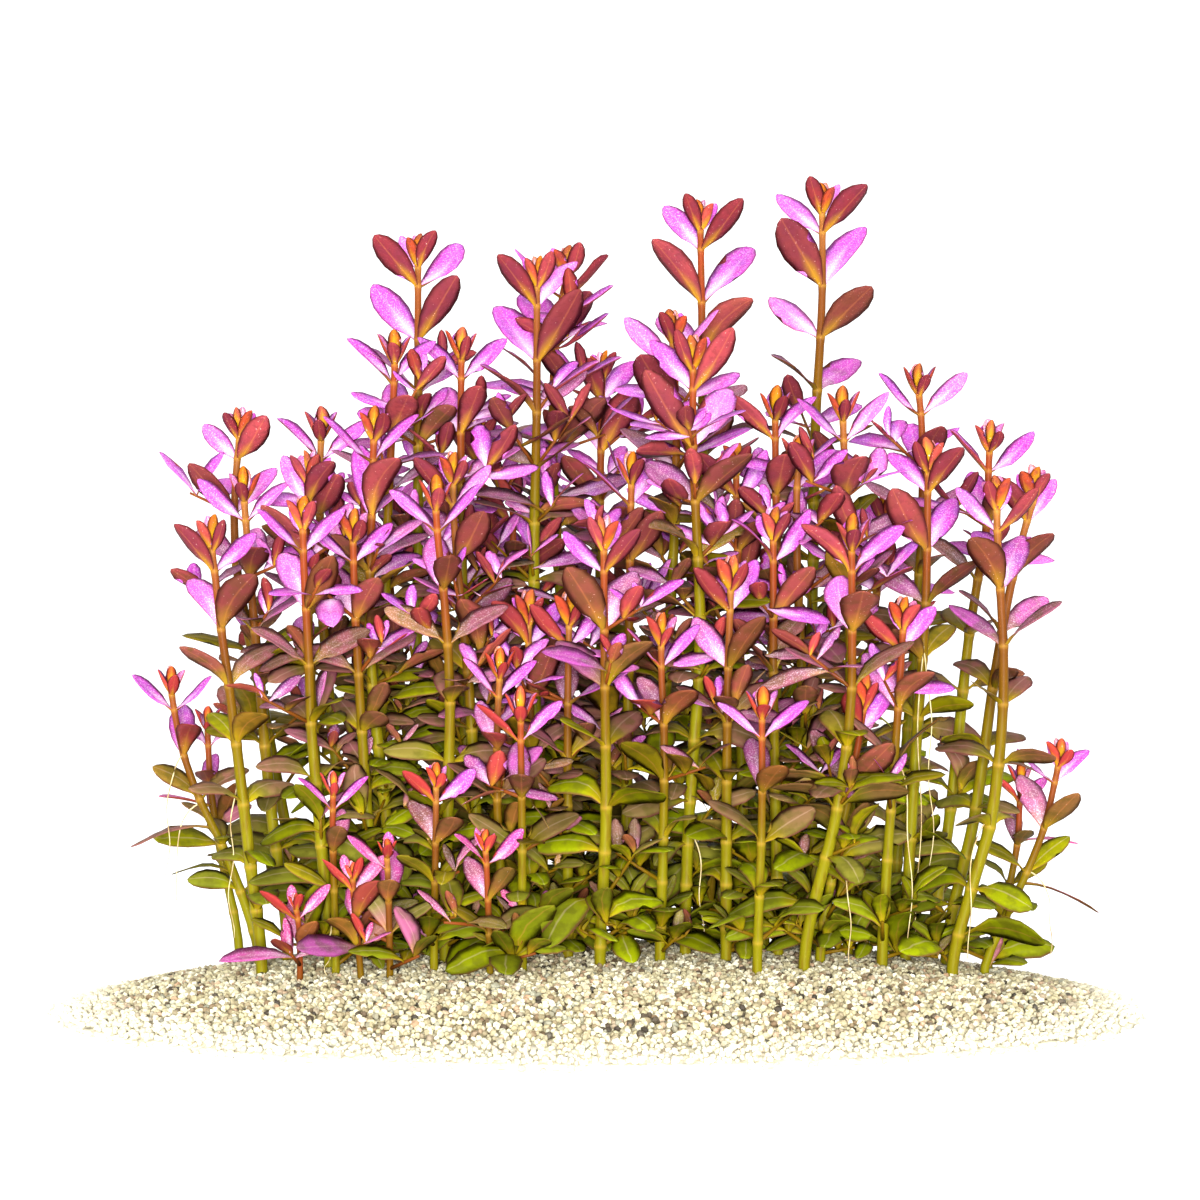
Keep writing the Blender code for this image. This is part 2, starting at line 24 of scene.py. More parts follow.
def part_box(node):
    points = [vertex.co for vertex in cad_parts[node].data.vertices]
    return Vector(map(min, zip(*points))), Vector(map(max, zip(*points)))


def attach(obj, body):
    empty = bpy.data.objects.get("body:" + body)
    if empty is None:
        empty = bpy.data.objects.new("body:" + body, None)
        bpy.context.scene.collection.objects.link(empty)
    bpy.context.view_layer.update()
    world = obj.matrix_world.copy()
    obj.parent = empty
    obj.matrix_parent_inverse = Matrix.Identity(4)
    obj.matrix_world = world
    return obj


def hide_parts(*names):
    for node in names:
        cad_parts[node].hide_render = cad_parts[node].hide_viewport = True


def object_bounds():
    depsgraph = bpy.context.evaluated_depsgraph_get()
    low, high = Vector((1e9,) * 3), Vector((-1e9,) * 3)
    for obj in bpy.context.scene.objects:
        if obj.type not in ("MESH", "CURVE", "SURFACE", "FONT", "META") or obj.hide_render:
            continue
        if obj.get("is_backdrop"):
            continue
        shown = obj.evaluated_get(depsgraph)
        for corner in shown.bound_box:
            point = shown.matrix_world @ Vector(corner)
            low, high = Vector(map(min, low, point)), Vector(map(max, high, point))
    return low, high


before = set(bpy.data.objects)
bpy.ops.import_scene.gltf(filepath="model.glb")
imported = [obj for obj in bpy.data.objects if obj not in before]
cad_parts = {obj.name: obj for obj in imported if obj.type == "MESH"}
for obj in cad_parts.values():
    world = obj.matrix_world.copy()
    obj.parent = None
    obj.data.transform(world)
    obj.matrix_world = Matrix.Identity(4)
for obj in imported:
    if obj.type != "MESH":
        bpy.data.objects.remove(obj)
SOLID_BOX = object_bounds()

LOG = logging.getLogger("rotala")
MM = 0.001
SEED = 707

Chance = np.random.Generator
Colour = tuple[int, int, int]
Socket = bpy.types.NodeSocket
Span = tuple[float, float]
Stops = tuple[tuple[float, Colour], ...]


class Slot(Enum):
    """The record's material slots, by name."""

    SAND = "sand"
    LEAVES = "leaves"


class Skin(IntEnum):
    """The finishes of a plant, by their place among its materials."""

    UPPER = 0
    UNDER = 1
    STEM = 2
    ROOT = 3


def linear(colour: Colour) -> tuple[float, float, float, float]:
    """Turn a colour of 0 to 255, as a screen shows it, into linear light.

    Args:
        colour: red, green and blue.

    Returns:
        The same colour with an alpha of 1, as material sockets take it.
    """
    share = np.array(colour) / 255.0
    low = share / 12.92
    high = ((share + 0.055) / 1.055) ** 2.4
    return (*np.where(share <= 0.04045, low, high).tolist(), 1.0)


def unit(vectors: np.ndarray) -> np.ndarray:
    """Scale vectors, which run along the last axis, to a length of 1."""
    return vectors / np.maximum(np.linalg.norm(vectors, axis=-1, keepdims=True), 1e-12)


def heading(azimuth: float, rise: float) -> np.ndarray:
    """The direction with this azimuth, seen from above, and this rise, both in radians."""
    level = math.cos(rise)
    return np.array([level * math.cos(azimuth), level * math.sin(azimuth), math.sin(rise)])


def crossed(turn: float, order: int, half: int) -> float:
    """The azimuth of one leaf, half 0 or 1, of a pair that stands across the one before it."""
    return turn + math.pi / 2 * (1 + order) + math.pi * half


# Materials


@dataclass(frozen=True)
class Tone:
    """A colour, and the share by which it covers what it is laid over."""

    colour: Colour
    share: float


class Recipe:
    """A material in the making, with short ways to add its nodes and join them."""

    def __init__(self, name: str) -> None:
        """Start a material that holds only its Principled shader.

        Args:
            name: the material's name.
        """
        self.material = bpy.data.materials.new(name)
        self.material.use_nodes = True
        self.tree = self.material.node_tree
        self.shader = self.tree.nodes["Principled BSDF"]

    def fill(self, node: bpy.types.Node, inputs: dict[str | int, object]) -> None:
        """Link a node's inputs to other sockets, or set them to plain values.

        Args:
            node: the node.
            inputs: what its inputs take, by their names or places.
        """
        for key, value in inputs.items():
            if isinstance(value, Socket):
                self.tree.links.new(value, node.inputs[key])
            else:
                node.inputs[key].default_value = value

    def node(self, kind: str, inputs: dict[str | int, object], **settings: object) -> bpy.types.Node:
        """Add a node.

        Args:
            kind: its type's name, after ShaderNode.
            inputs: what its inputs take, by their names or places.
            settings: its own settings.

        Returns:
            The node.
        """
        node = self.tree.nodes.new("ShaderNode" + kind)
        for key, value in settings.items():
            setattr(node, key, value)
        self.fill(node, inputs)
        return node

    def point_value(self, name: str) -> Socket:
        """The number that the mesh keeps at each point under a name."""
        return self.node("Attribute", {}, attribute_name=name).outputs["Fac"]

    def maths(self, operation: str, *values: object, clamp: bool = False) -> Socket:
        """One step of arithmetic on sockets or numbers, by the Math node's name for it."""
        return self.node("Math", dict(enumerate(values)), operation=operation, use_clamp=clamp).outputs[0]

    def product(self, *values: object) -> Socket:
        """All the values multiplied."""
        return reduce(lambda one, other: self.maths("MULTIPLY", one, other), values)

    def drift(self, tint: object, spread: float) -> Socket:
        """A tint of 0 to 1 as a difference that is half the spread at most."""
        return self.maths("MULTIPLY_ADD", tint, spread, -0.5 * spread)

    def rise(self, value: object, low: float, high: float) -> Socket:
        """A soft step.

        Args:
            value: what it is read at.
            low: where it is 0.
            high: where it is 1, which may lie below low.

        Returns:
            The step's socket.
        """
        ends = {"From Min": min(low, high), "From Max": max(low, high),
                "To Min": float(low > high), "To Max": float(low < high)}
        node = self.node("MapRange", {"Value": value, **ends}, interpolation_type="SMOOTHSTEP")
        return node.outputs["Result"]

    def ramp(self, value: object, stops: Stops) -> Socket:
        """The colour that a value picks from a row of stops.

        Args:
            value: the value, from 0 to 1.
            stops: places from 0 to 1, with the colour at each.

        Returns:
            The colour's socket.
        """
        node = self.node("ValToRGB", {"Fac": value})
        elements = node.color_ramp.elements
        while len(elements) < len(stops):
            elements.new(1.0)
        for element, (place, colour) in zip(elements, stops):
            element.position = place
            element.color = linear(colour)
        return node.outputs["Color"]

    def mix(self, share: object, one: object, other: object, blend: str = "MIX") -> Socket:
        """Lay the other colour over the first, by a share."""
        inputs = {0: share, 6: one, 7: other}
        return self.node("Mix", inputs, data_type="RGBA", blend_type=blend).outputs[2]

    def lay(self, colour: object, tone: Tone, *masks: object) -> Socket:
        """Lay a tone over a colour by its share, where the masks are 1."""
        return self.mix(self.product(*masks, tone.share), colour, linear(tone.colour))

    def object_place(self) -> Socket:
        """The place on the piece, in metres."""
        return self.node("TexCoord", {}).outputs["Object"]

    def coordinate(self, axis: str) -> Socket:
        """The place on the piece along X, Y or Z, in metres."""
        return self.node("SeparateXYZ", {"Vector": self.object_place()}).outputs[axis]

    def noise(self, size: float, detail: float = 2.0, tall: float = 1.0) -> Socket:
        """Cloudy noise.

        Args:
            size: about how wide its lumps are.
            detail: how many finer layers it has.
            tall: how many times as tall as wide its lumps are.

        Returns:
            The noise's socket, from 0 to 1.
        """
        stretch = self.node("Mapping", {"Vector": self.object_place(), "Scale": (1.0, 1.0, 1.0 / tall)})
        inputs = {"Vector": stretch.outputs["Vector"], "Scale": 1.0 / size, "Detail": detail}
        return self.node("TexNoise", inputs).outputs["Fac"]

    def spots(self, size: float, edge: Span, detail: float = 2.0, tall: float = 1.0) -> Socket:
        """Soft spots of about this size: where noise passes the edge from its first to its last."""
        return self.rise(self.noise(size, detail, tall), *edge)

    def cells(self, size: float) -> bpy.types.Node:
        """Cells of about this size, with a distance and a colour in each."""
        return self.node("TexVoronoi", {"Vector": self.object_place(), "Scale": 1.0 / size})

    def bump(self, height: object, depth: float, strength: float) -> None:
        """Roughen the surface by a height of 0 to 1 that stands for this depth."""
        node = self.node("Bump", {"Distance": depth, "Strength": strength, "Height": height})
        self.fill(self.shader, {"Normal": node.outputs["Normal"]})

    def finish(self, colour: object, roughness: float, specular: float) -> bpy.types.Material:
        """Give the shader its colour and gloss.

        Args:
            colour: its base colour, plain or from a socket.
            roughness: how matte it is.
            specular: how much it mirrors, where 0.5 is usual.

        Returns:
            The finished material.
        """
        gloss = {"Roughness": roughness, "Specular IOR Level": specular}
        self.fill(self.shader, {"Base Color": colour, **gloss})
        return self.material


@dataclass(frozen=True)
class LeafFinish:
    """One face of the leaves: coloured by age, with a pale or golden heart, flecks and a midrib.

    by_age runs from the bud to the oldest leaf. The heart is the part near the stem and along
    the midrib, the blush a second colour that some leaves have more of, the cloud a third in
    soft patches, the dapple a fourth in small ones, the stain what old leaves have instead, the
    late colour that of many older leaves from the middle to the tip, which is late_low near the
    sand, the low colour that of young leaves near the sand, the root the older leaves' colour
    next to the stem, and the rim the leaf's edge. The flecks are painted glints, a pale sparkle
    of light on fresh leaves, and crowd towards the stem. In the bud the heart reaches further
    by bud_reach. Ages and places along a leaf run from 0 to 1, and a span is where a soft step
    starts and where it is whole.
    """

    name: str
    by_age: Stops
    heart: Tone
    heart_reach: float
    heart_until: float
    blush: Tone
    cloud: Tone
    dapple: Tone
    stain: Tone
    late: Tone
    low: Tone
    low_heights: Span
    # painted glints: pale sparkle flecks that stand for light caught on fresh leaves
    glint_fleck: Tone
    glint_size: float
    glint_edge: Span
    glint_until: float
    rim: Tone
    vein: Tone
    age_spread: float = 0.26
    spread_ages: Span = (0.1, 0.35)
    young_share: float = 0.5
    tint_turns: Span = (7.3, 13.7)
    blush_picked: Span = (0.4, 0.95)
    cloud_size: float = 6 * MM
    cloud_edge: Span = (0.42, 0.68)
    dapple_size: float = 1.1 * MM
    dapple_edge: Span = (0.5, 0.66)
    stain_size: float = 3.5 * MM
    stain_edge: Span = (0.42, 0.62)
    stain_detail: float = 4.0
    late_low: Colour = (88, 94, 12)
    late_picked: Span = (0.36, 0.6)
    late_heights: Span = (22 * MM, 66 * MM)
    late_along: Span = (0.0, 0.6)
    root: Tone = Tone((134, 110, 10), 0.7)
    root_along: Span = (0.4, 0.0)
    heart_whole: float = 0.05
    heart_taper: float = 0.5
    bud_ages: Span = (0.06, 0.0)
    bud_reach: float = 0.4
    fresh_share: float = 0.6
    glint_crowding: Span = (0.65, 0.35)
    glint_detail: float = 1.0
    vein_width: float = 0.1
    rim_across: Span = (0.78, 1.0)
    # the shade is partly each leaf's own tone and partly painted shade, darker on some old leaves
    shade_middle: float = 0.6
    shade_depth: float = 0.28
    old_shade: float = 0.36
    grain_size: float = 0.5 * MM
    grain_depth: float = 0.025 * MM
    grain_strength: float = 0.6
    roughness: float = 0.5
    specular: float = 0.02

    def material(self) -> bpy.types.Material:
        """Build the material from the points' age, tint, along and across values.

        Youth is 1 on young leaves and 0 on old ones. Two numbers of each leaf's own come from
        its tint: one for the blush and the shade, the other for the late colour. The shade is each
        leaf's brightness: partly its own tone, partly painted shade, strongest on old leaves.

        Returns:
            The material.
        """
        recipe = Recipe(self.name)
        age, tint, along, across = map(recipe.point_value, ("age", "tint", "along", "across"))
        off_rib = recipe.maths("ABSOLUTE", across)
        height = recipe.coordinate("Z")
        drift = recipe.product(recipe.drift(tint, self.age_spread), recipe.rise(age, *self.spread_ages))
        youth = recipe.rise(age, self.heart_until, self.young_share * self.heart_until)
        old = recipe.maths("SUBTRACT", 1.0, youth)
        own, other = (recipe.maths("FRACT", recipe.product(tint, turns)) for turns in self.tint_turns)

        colour = recipe.ramp(recipe.maths("ADD", age, drift, clamp=True), self.by_age)
        colour = recipe.lay(colour, self.blush, recipe.rise(own, *self.blush_picked), youth)
        colour = recipe.lay(colour, self.cloud, recipe.spots(self.cloud_size, self.cloud_edge), youth)
        colour = recipe.lay(colour, self.dapple, recipe.spots(self.dapple_size, self.dapple_edge), youth)
        colour = recipe.lay(colour, self.low, recipe.rise(height, *self.low_heights), youth)

        high = recipe.rise(height, *self.late_heights)
        dusky = recipe.mix(high, linear(self.late_low), linear(self.late.colour))
        picked = recipe.rise(other, *self.late_picked)
        late = recipe.product(picked, old, recipe.rise(along, *self.late_along), self.late.share)
        colour = recipe.mix(late, colour, dusky)
        stained = recipe.spots(self.stain_size, self.stain_edge, self.stain_detail)
        colour = recipe.lay(colour, self.stain, stained, old)
        colour = recipe.lay(colour, self.root, recipe.rise(along, *self.root_along), old)

        out = recipe.maths("ADD", along, recipe.product(off_rib, self.heart_taper))
        budding = recipe.product(recipe.rise(age, *self.bud_ages), self.bud_reach)
        near_stem = recipe.rise(recipe.maths("SUBTRACT", out, budding), self.heart_reach, self.heart_whole)
        colour = recipe.lay(colour, self.heart, near_stem, youth)
        # painted glints: pale sparkle flecks on fresh leaves, crowded towards the stem
        glinting = recipe.spots(self.glint_size, self.glint_edge, self.glint_detail)
        fresh = recipe.rise(age, self.glint_until, self.fresh_share * self.glint_until)
        crowd = recipe.maths("MULTIPLY_ADD", near_stem, *self.glint_crowding)
        colour = recipe.lay(colour, self.glint_fleck, glinting, fresh, crowd)
        colour = recipe.lay(colour, self.vein, recipe.rise(off_rib, self.vein_width, 0.0))
        colour = recipe.lay(colour, self.rim, recipe.rise(off_rib, *self.rim_across))

        # partly the leaf's own tone, partly painted shade: old leaves darken more, as if in shadow
        depth = recipe.maths("MULTIPLY_ADD", old, self.old_shade, self.shade_depth)
        shade = recipe.maths("MULTIPLY_ADD", recipe.maths("SUBTRACT", own, self.shade_middle), depth, 1.0)
        colour = recipe.mix(1.0, colour, shade, "MULTIPLY")
        recipe.bump(recipe.noise(self.grain_size), self.grain_depth, self.grain_strength)
        return recipe.finish(colour, self.roughness, self.specular)


@dataclass(frozen=True)
class StemFinish:
    """The stems' skin: amber at the top, redder on some plants, green at the foot, ringed at joints."""

    name: str = "stem skin"
    by_age: Stops = (
        (0.0, (134, 84, 38)), (0.2, (104, 56, 22)), (0.4, (88, 48, 12)), (0.58, (90, 62, 4)),
        (0.78, (96, 84, 4)), (1.0, (104, 98, 6)))
    age_spread: float = 0.16
    flush: Tone = Tone((122, 44, 20), 0.7)
    flush_tints: Span = (0.2, 0.9)
    flush_ages: Span = (0.55, 0.25)
    streak: Tone = Tone((84, 50, 12), 0.45)
    streak_size: float = 0.9 * MM
    streak_tall: float = 9.0
    streak_edge: Span = (0.46, 0.68)
    streak_detail: float = 3.0
    ring: Tone = Tone((172, 132, 50), 0.3)
    grain_depth: float = 0.08 * MM
    grain_strength: float = 0.5
    roughness: float = 0.42
    specular: float = 0.05

    def material(self) -> bpy.types.Material:
        """Build the material from the points' age, joint and tint values.

        Returns:
            The material.
        """
        recipe = Recipe(self.name)
        age, tint, joint = map(recipe.point_value, ("age", "tint", "joint"))
        aged = recipe.maths("ADD", age, recipe.drift(tint, self.age_spread), clamp=True)
        colour = recipe.ramp(aged, self.by_age)
        flushed = recipe.rise(tint, *self.flush_tints), recipe.rise(age, *self.flush_ages)
        colour = recipe.lay(colour, self.flush, *flushed)
        streaked = recipe.spots(self.streak_size, self.streak_edge, self.streak_detail, self.streak_tall)
        colour = recipe.lay(colour, self.streak, streaked)
        colour = recipe.lay(colour, self.ring, joint)
        grain = recipe.noise(0.5 * self.streak_size, tall=self.streak_tall)
        recipe.bump(grain, self.grain_depth, self.grain_strength)
        return recipe.finish(colour, self.roughness, self.specular)


@dataclass(frozen=True)
class SandFinish:
    """Sand: mostly cream and white, with tan, pink, grey and a few dark grains, paler at the lip."""

    name: str
    half_length: float
    half_width: float
    tones: Stops = (
        (0.0, (32, 29, 26)), (0.03, (58, 49, 38)), (0.06, (106, 86, 62)), (0.16, (130, 120, 92)),
        (0.34, (156, 147, 114)), (0.57, (176, 169, 138)), (0.78, (214, 208, 182)),
        (0.88, (120, 120, 102)), (0.95, (152, 122, 94)), (1.0, (186, 180, 156)))
    lip: Tone = Tone((230, 226, 204), 0.36)
    lip_from: Span = (0.84, 1.0)
    end: Tone = Tone((230, 226, 204), 0.6)
    end_from: Span = (0.88, 1.02)
    mottle: Tone = Tone((96, 82, 52), 0.22)
    mottle_size: float = 0.4 * MM
    mottle_edge: Span = (0.35, 0.75)
    pit_size: float = 0.25 * MM
    pit_depth: float = 0.05 * MM
    pit_strength: float = 0.6
    # painted shade: darker where the packed sand's cells meet, as in the crevices between grains
    gap_shade: Tone = Tone((96, 82, 52), 0.6)
    gap_shade_from: Span = (0.35, 0.75)
    cell_size: float = 1.4 * MM
    cell_depth: float = 0.5 * MM
    cell_strength: float = 0.8
    roughness: float = 0.6
    specular: float = 0.3

    def finish(self, recipe: Recipe, colour: Socket) -> bpy.types.Material:
        """Let the sand grow paler towards the lip and both ends, and finish its material.

        The lip is where the reach from the bed's middle, as on an oval, comes to 1, and the ends
        are where the way along the bed does.

        Args:
            recipe: the material in the making.
            colour: the sand's own colour.

        Returns:
            The material.
        """
        along = recipe.maths("DIVIDE", recipe.coordinate("X"), self.half_length)
        away = recipe.maths("DIVIDE", recipe.coordinate("Y"), self.half_width)
        square = recipe.maths("ADD", recipe.product(along, along), recipe.product(away, away))
        colour = recipe.lay(colour, self.lip, recipe.rise(recipe.maths("SQRT", square), *self.lip_from))
        colour = recipe.lay(colour, self.end, recipe.rise(recipe.maths("ABSOLUTE", along), *self.end_from))
        return recipe.finish(colour, self.roughness, self.specular)

    def of_grains(self) -> bpy.types.Material:
        """Build the finish of loose grains, each of which has its own tint.

        Returns:
            The material.
        """
        recipe = Recipe(self.name)
        colour = recipe.ramp(recipe.point_value("tint"), self.tones)
        colour = recipe.lay(colour, self.mottle, recipe.spots(self.mottle_size, self.mottle_edge))
        recipe.bump(recipe.noise(self.pit_size), self.pit_depth, self.pit_strength)
        return self.finish(recipe, colour)

    def of_bed(self) -> bpy.types.Material:
        """Build the finish of the packed sand between and below the loose grains.

        Returns:
            The material.
        """
        recipe = Recipe(self.name)
        cells = recipe.cells(self.cell_size)
        picked = recipe.node("SeparateColor", {"Color": cells.outputs["Color"]})
        colour = recipe.ramp(picked.outputs["Red"], self.tones)
        distance = cells.outputs["Distance"]
        # painted shade in the crevices between the cells
        colour = recipe.lay(colour, self.gap_shade, recipe.rise(distance, *self.gap_shade_from))
        recipe.bump(recipe.maths("SUBTRACT", 1.0, distance), self.cell_depth, self.cell_strength)
        return self.finish(recipe, colour)


@dataclass(frozen=True)
class RootFinish:
    """Hair roots: thin and nearly white, a little brown in places."""

    name: str = "hair root"
    pale: Colour = (184, 168, 122)
    brown: Colour = (140, 112, 66)
    patch_size: float = 4 * MM
    patch_edge: Span = (0.4, 0.7)
    roughness: float = 0.6
    specular: float = 0.5

    def material(self) -> bpy.types.Material:
        """Build the material: two browns in patches along the root.

        Returns:
            The material.
        """
        recipe = Recipe(self.name)
        patch = recipe.spots(self.patch_size, self.patch_edge)
        colour = recipe.mix(patch, linear(self.pale), linear(self.brown))
        return recipe.finish(colour, self.roughness, self.specular)


@dataclass(frozen=True)
class StageFinish:
    """The floor: plain, matte and nearly white."""

    name: str = "studio floor"
    colour: Colour = (253, 253, 253)
    roughness: float = 0.9
    specular: float = 0.1

    def material(self) -> bpy.types.Material:
        """Build the plain material."""
        return Recipe(self.name).finish(linear(self.colour), self.roughness, self.specular)


UPPER_FACE = LeafFinish(
    name="leaf upper face",
    by_age=((0.0, (168, 98, 62)), (0.06, (174, 64, 160)), (0.2, (170, 62, 160)), (0.34, (154, 68, 136)),
            (0.46, (130, 74, 88)), (0.57, (108, 86, 20)), (0.7, (100, 96, 4)), (1.0, (104, 112, 4))),
    heart=Tone((226, 190, 218), 0.8), heart_reach=0.78, heart_until=0.48,
    blush=Tone((194, 104, 160), 0.5),
    cloud=Tone((122, 76, 162), 0.5),
    dapple=Tone((120, 46, 112), 0.45),
    stain=Tone((66, 64, 14), 0.5),
    late=Tone((108, 58, 66), 0.8),
    low=Tone((186, 68, 78), 0.6), low_heights=(64 * MM, 34 * MM),
    # the flecks are painted glints of light on the fresh upper faces
    glint_fleck=Tone((255, 232, 250), 0.66), glint_size=0.32 * MM, glint_edge=(0.54, 0.66), glint_until=0.56,
    rim=Tone((100, 32, 48), 0.6),
    vein=Tone((226, 190, 170), 0.1))

UNDER_FACE = LeafFinish(
    name="leaf underside",
    by_age=((0.0, (156, 84, 18)), (0.03, (142, 54, 30)), (0.07, (108, 36, 42)), (0.18, (104, 40, 46)),
            (0.3, (106, 46, 44)), (0.44, (106, 60, 36)), (0.57, (104, 78, 14)), (0.74, (96, 90, 4)),
            (1.0, (96, 102, 4))),
    heart=Tone((164, 124, 14), 0.86), heart_reach=0.62, heart_until=0.42,
    blush=Tone((140, 56, 58), 0.55),
    cloud=Tone((88, 34, 50), 0.5),
    dapple=Tone((90, 36, 38), 0.45),
    stain=Tone((62, 54, 12), 0.5),
    late=Tone((98, 50, 46), 0.8),
    low=Tone((176, 52, 40), 0.42), low_heights=(124 * MM, 66 * MM),
    # the flecks are painted glints of light on the fresh undersides
    glint_fleck=Tone((250, 206, 190), 0.7), glint_size=0.5 * MM, glint_edge=(0.72, 0.77), glint_until=0.6,
    rim=Tone((72, 28, 20), 0.6),
    vein=Tone((184, 110, 62), 0.18))


# Meshes


@dataclass(frozen=True)
class Patch:
    """A stretch of mesh. faces has four corners a row, and a triangle repeats its last one."""

    points: np.ndarray
    faces: np.ndarray
    skins: np.ndarray
    values: dict[str, np.ndarray] = field(default_factory=dict)


def capsule_faces(rings: int, around: int) -> np.ndarray:
    """Join a first pole, rings of points and a last pole into a closed skin.

    Each face joins two neighbours of a ring to the same two of the next ring, or to a pole. The
    faces point outwards where the rings turn right-handed about the way from pole to pole.

    Args:
        rings: how many rings lie between the poles.
        around: how many points each ring has.

    Returns:
        The faces, ring by ring.
    """
    here = np.arange(around)
    beside = (here + 1) % around
    pole = np.zeros_like(here)
    first = np.column_stack([pole, 1 + beside, 1 + here, 1 + here])
    start = 1 + around * np.arange(rings - 1)[:, None]
    after = start + around
    middle = np.stack([start + here, start + beside, after + beside, after + here], axis=-1)
    top = 1 + around * (rings - 1)
    end = pole + top + around
    last = np.column_stack([top + here, top + beside, end, end])
    return np.vstack([first, middle.reshape(-1, 4), last])


def make_piece(name: str, patches: list[Patch], materials: list[bpy.types.Material], slot: Slot,
               nodes: list[str], smooth: bool = True) -> bpy.types.Object:
    """Put patches together as one finished piece that rides on the stand.

    Args:
        name: the piece's name.
        patches: its stretches of mesh.
        materials: its finishes, in the order of the patches' skins.
        slot: the record's slot for the piece's finish; it is not used.
        nodes: the solids that it stands for.
        smooth: whether it is shaded as a smooth surface.

    Returns:
        The piece.
    """
    starts = np.cumsum([0] + [len(patch.points) for patch in patches])
    points = np.vstack([patch.points for patch in patches])
    faces = np.vstack([patch.faces + start for patch, start in zip(patches, starts)])
    skins = np.concatenate([patch.skins for patch in patches])
    three = faces[:, 2] == faces[:, 3]
    skins = np.concatenate([skins[~three], skins[three]]).astype(np.int32)
    mesh = bpy.data.meshes.new(name)
    mesh.from_pydata(points.tolist(), [], faces[~three].tolist() + faces[three, :3].tolist())
    mesh.polygons.foreach_set("material_index", skins)
    mesh.polygons.foreach_set("use_smooth", np.full(len(faces), smooth))
    for key in sorted(set().union(*(patch.values for patch in patches))):
        numbers = [patch.values.get(key, np.zeros(len(patch.points))) for patch in patches]
        layer = mesh.attributes.new(key, "FLOAT", "POINT")
        layer.data.foreach_set("value", np.concatenate(numbers).astype(np.float32))
    for material in materials:
        mesh.materials.append(material)
    mesh.update()
    piece = bpy.data.objects.new(name, mesh)
    bpy.context.scene.collection.objects.link(piece)
    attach(piece, "root")
    if nodes:
        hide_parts(*nodes)
    LOG.info("%s: %d faces", name, len(faces))
    return piece


def tube(path: np.ndarray, radius: np.ndarray, around: int, skin: Skin,
         values: dict[str, np.ndarray]) -> Patch:
    """Carry a round profile along a path, and close it with a pole at each end.

    Each ring lies across the path, on two axes made from the path's direction and a level line.

    Args:
        path: the points that it follows.
        radius: its radius at each of them.
        around: how many points its profile has.
        skin: its finish.
        values: a number at each point of the path, under each name.

    Returns:
        The tube.
    """
    steep = 0.9
    way = unit(np.gradient(path, axis=0))
    guide = np.where(np.abs(way[:, 2:]) > steep, [[1.0, 0, 0]], [[0, 0, 1.0]])
    one = unit(np.cross(guide, way))
    other = np.cross(way, one)
    angle = np.arange(around) * 2 * np.pi / around
    spokes = np.cos(angle)[None, :, None] * one[:, None] + np.sin(angle)[None, :, None] * other[:, None]
    rings = path[:, None] + spokes * radius[:, None, None]
    faces = capsule_faces(len(path), around)
    spread = {key: np.concatenate([row[:1], np.repeat(row, around), row[-1:]]) for key, row in values.items()}
    points = np.concatenate([path[:1], rings.reshape(-1, 3), path[-1:]])
    return Patch(points, faces, np.full(len(faces), skin), spread)


# The sand


@dataclass
class SandBed:
    """The bed: an oval mound, highest in the middle, whose surface is a little uneven."""

    half_length: float
    half_width: float
    crest: float = 12 * MM
    lip: float = 1.2 * MM
    swell: float = 3.0
    rings: int = 56
    sectors: int = 180
    unevenness: float = 0.35 * MM
    waves: tuple[float, float, float] = (7 * MM, 9 * MM, 5 * MM)

    def reach(self, x: np.ndarray, y: np.ndarray) -> np.ndarray:
        """How far out places are: 0 in the middle of the oval, 1 at its lip."""
        return np.hypot(x / self.half_length, y / self.half_width)

    def height(self, x: np.ndarray, y: np.ndarray) -> np.ndarray:
        """Height of the sand: the lip, and over it the crest times 1 - reach to the swell."""
        reach = np.minimum(1.0, self.reach(x, y))
        return self.lip + (self.crest - self.lip) * (1 - reach**self.swell)

    def build(self) -> bpy.types.Object:
        """Make the mound over its solid.

        Its skin runs from the middle of the flat underside out to the lip and back over the top.
        Reach and turn give a point, and the sines of x and y lower the top unevenly.

        Returns:
            The bed's piece.
        """
        reach = np.sqrt(np.linspace(0.0, 1.0, self.rings + 1))[1:]
        turn = np.arange(self.sectors) * 2 * np.pi / self.sectors
        x = self.half_length * reach[:, None] * np.cos(turn)
        y = self.half_width * reach[:, None] * np.sin(turn)
        long, slow, short = self.waves
        uneven = np.sin(x / long + 2 * np.sin(y / slow)) * np.sin(y / short + 1.0)
        z = self.height(x, y) - self.unevenness * (0.5 + 0.5 * uneven)
        top = np.stack([x, y, z], axis=-1)[::-1]
        floor = np.stack([x[[0, -1]], y[[0, -1]], np.zeros((2, self.sectors))], axis=-1)
        rings = np.concatenate([floor, top])
        peak = np.array([[0, 0, self.crest - 0.5 * self.unevenness]])
        points = np.concatenate([np.zeros((1, 3)), rings.reshape(-1, 3), peak])
        faces = capsule_faces(len(rings), self.sectors)
        patch = Patch(points, faces, np.zeros(len(faces), int))
        material = SandFinish("packed sand", self.half_length, self.half_width).of_bed()
        return make_piece("sand_mound", [patch], [material], Slot.SAND, ["sand_bed"])


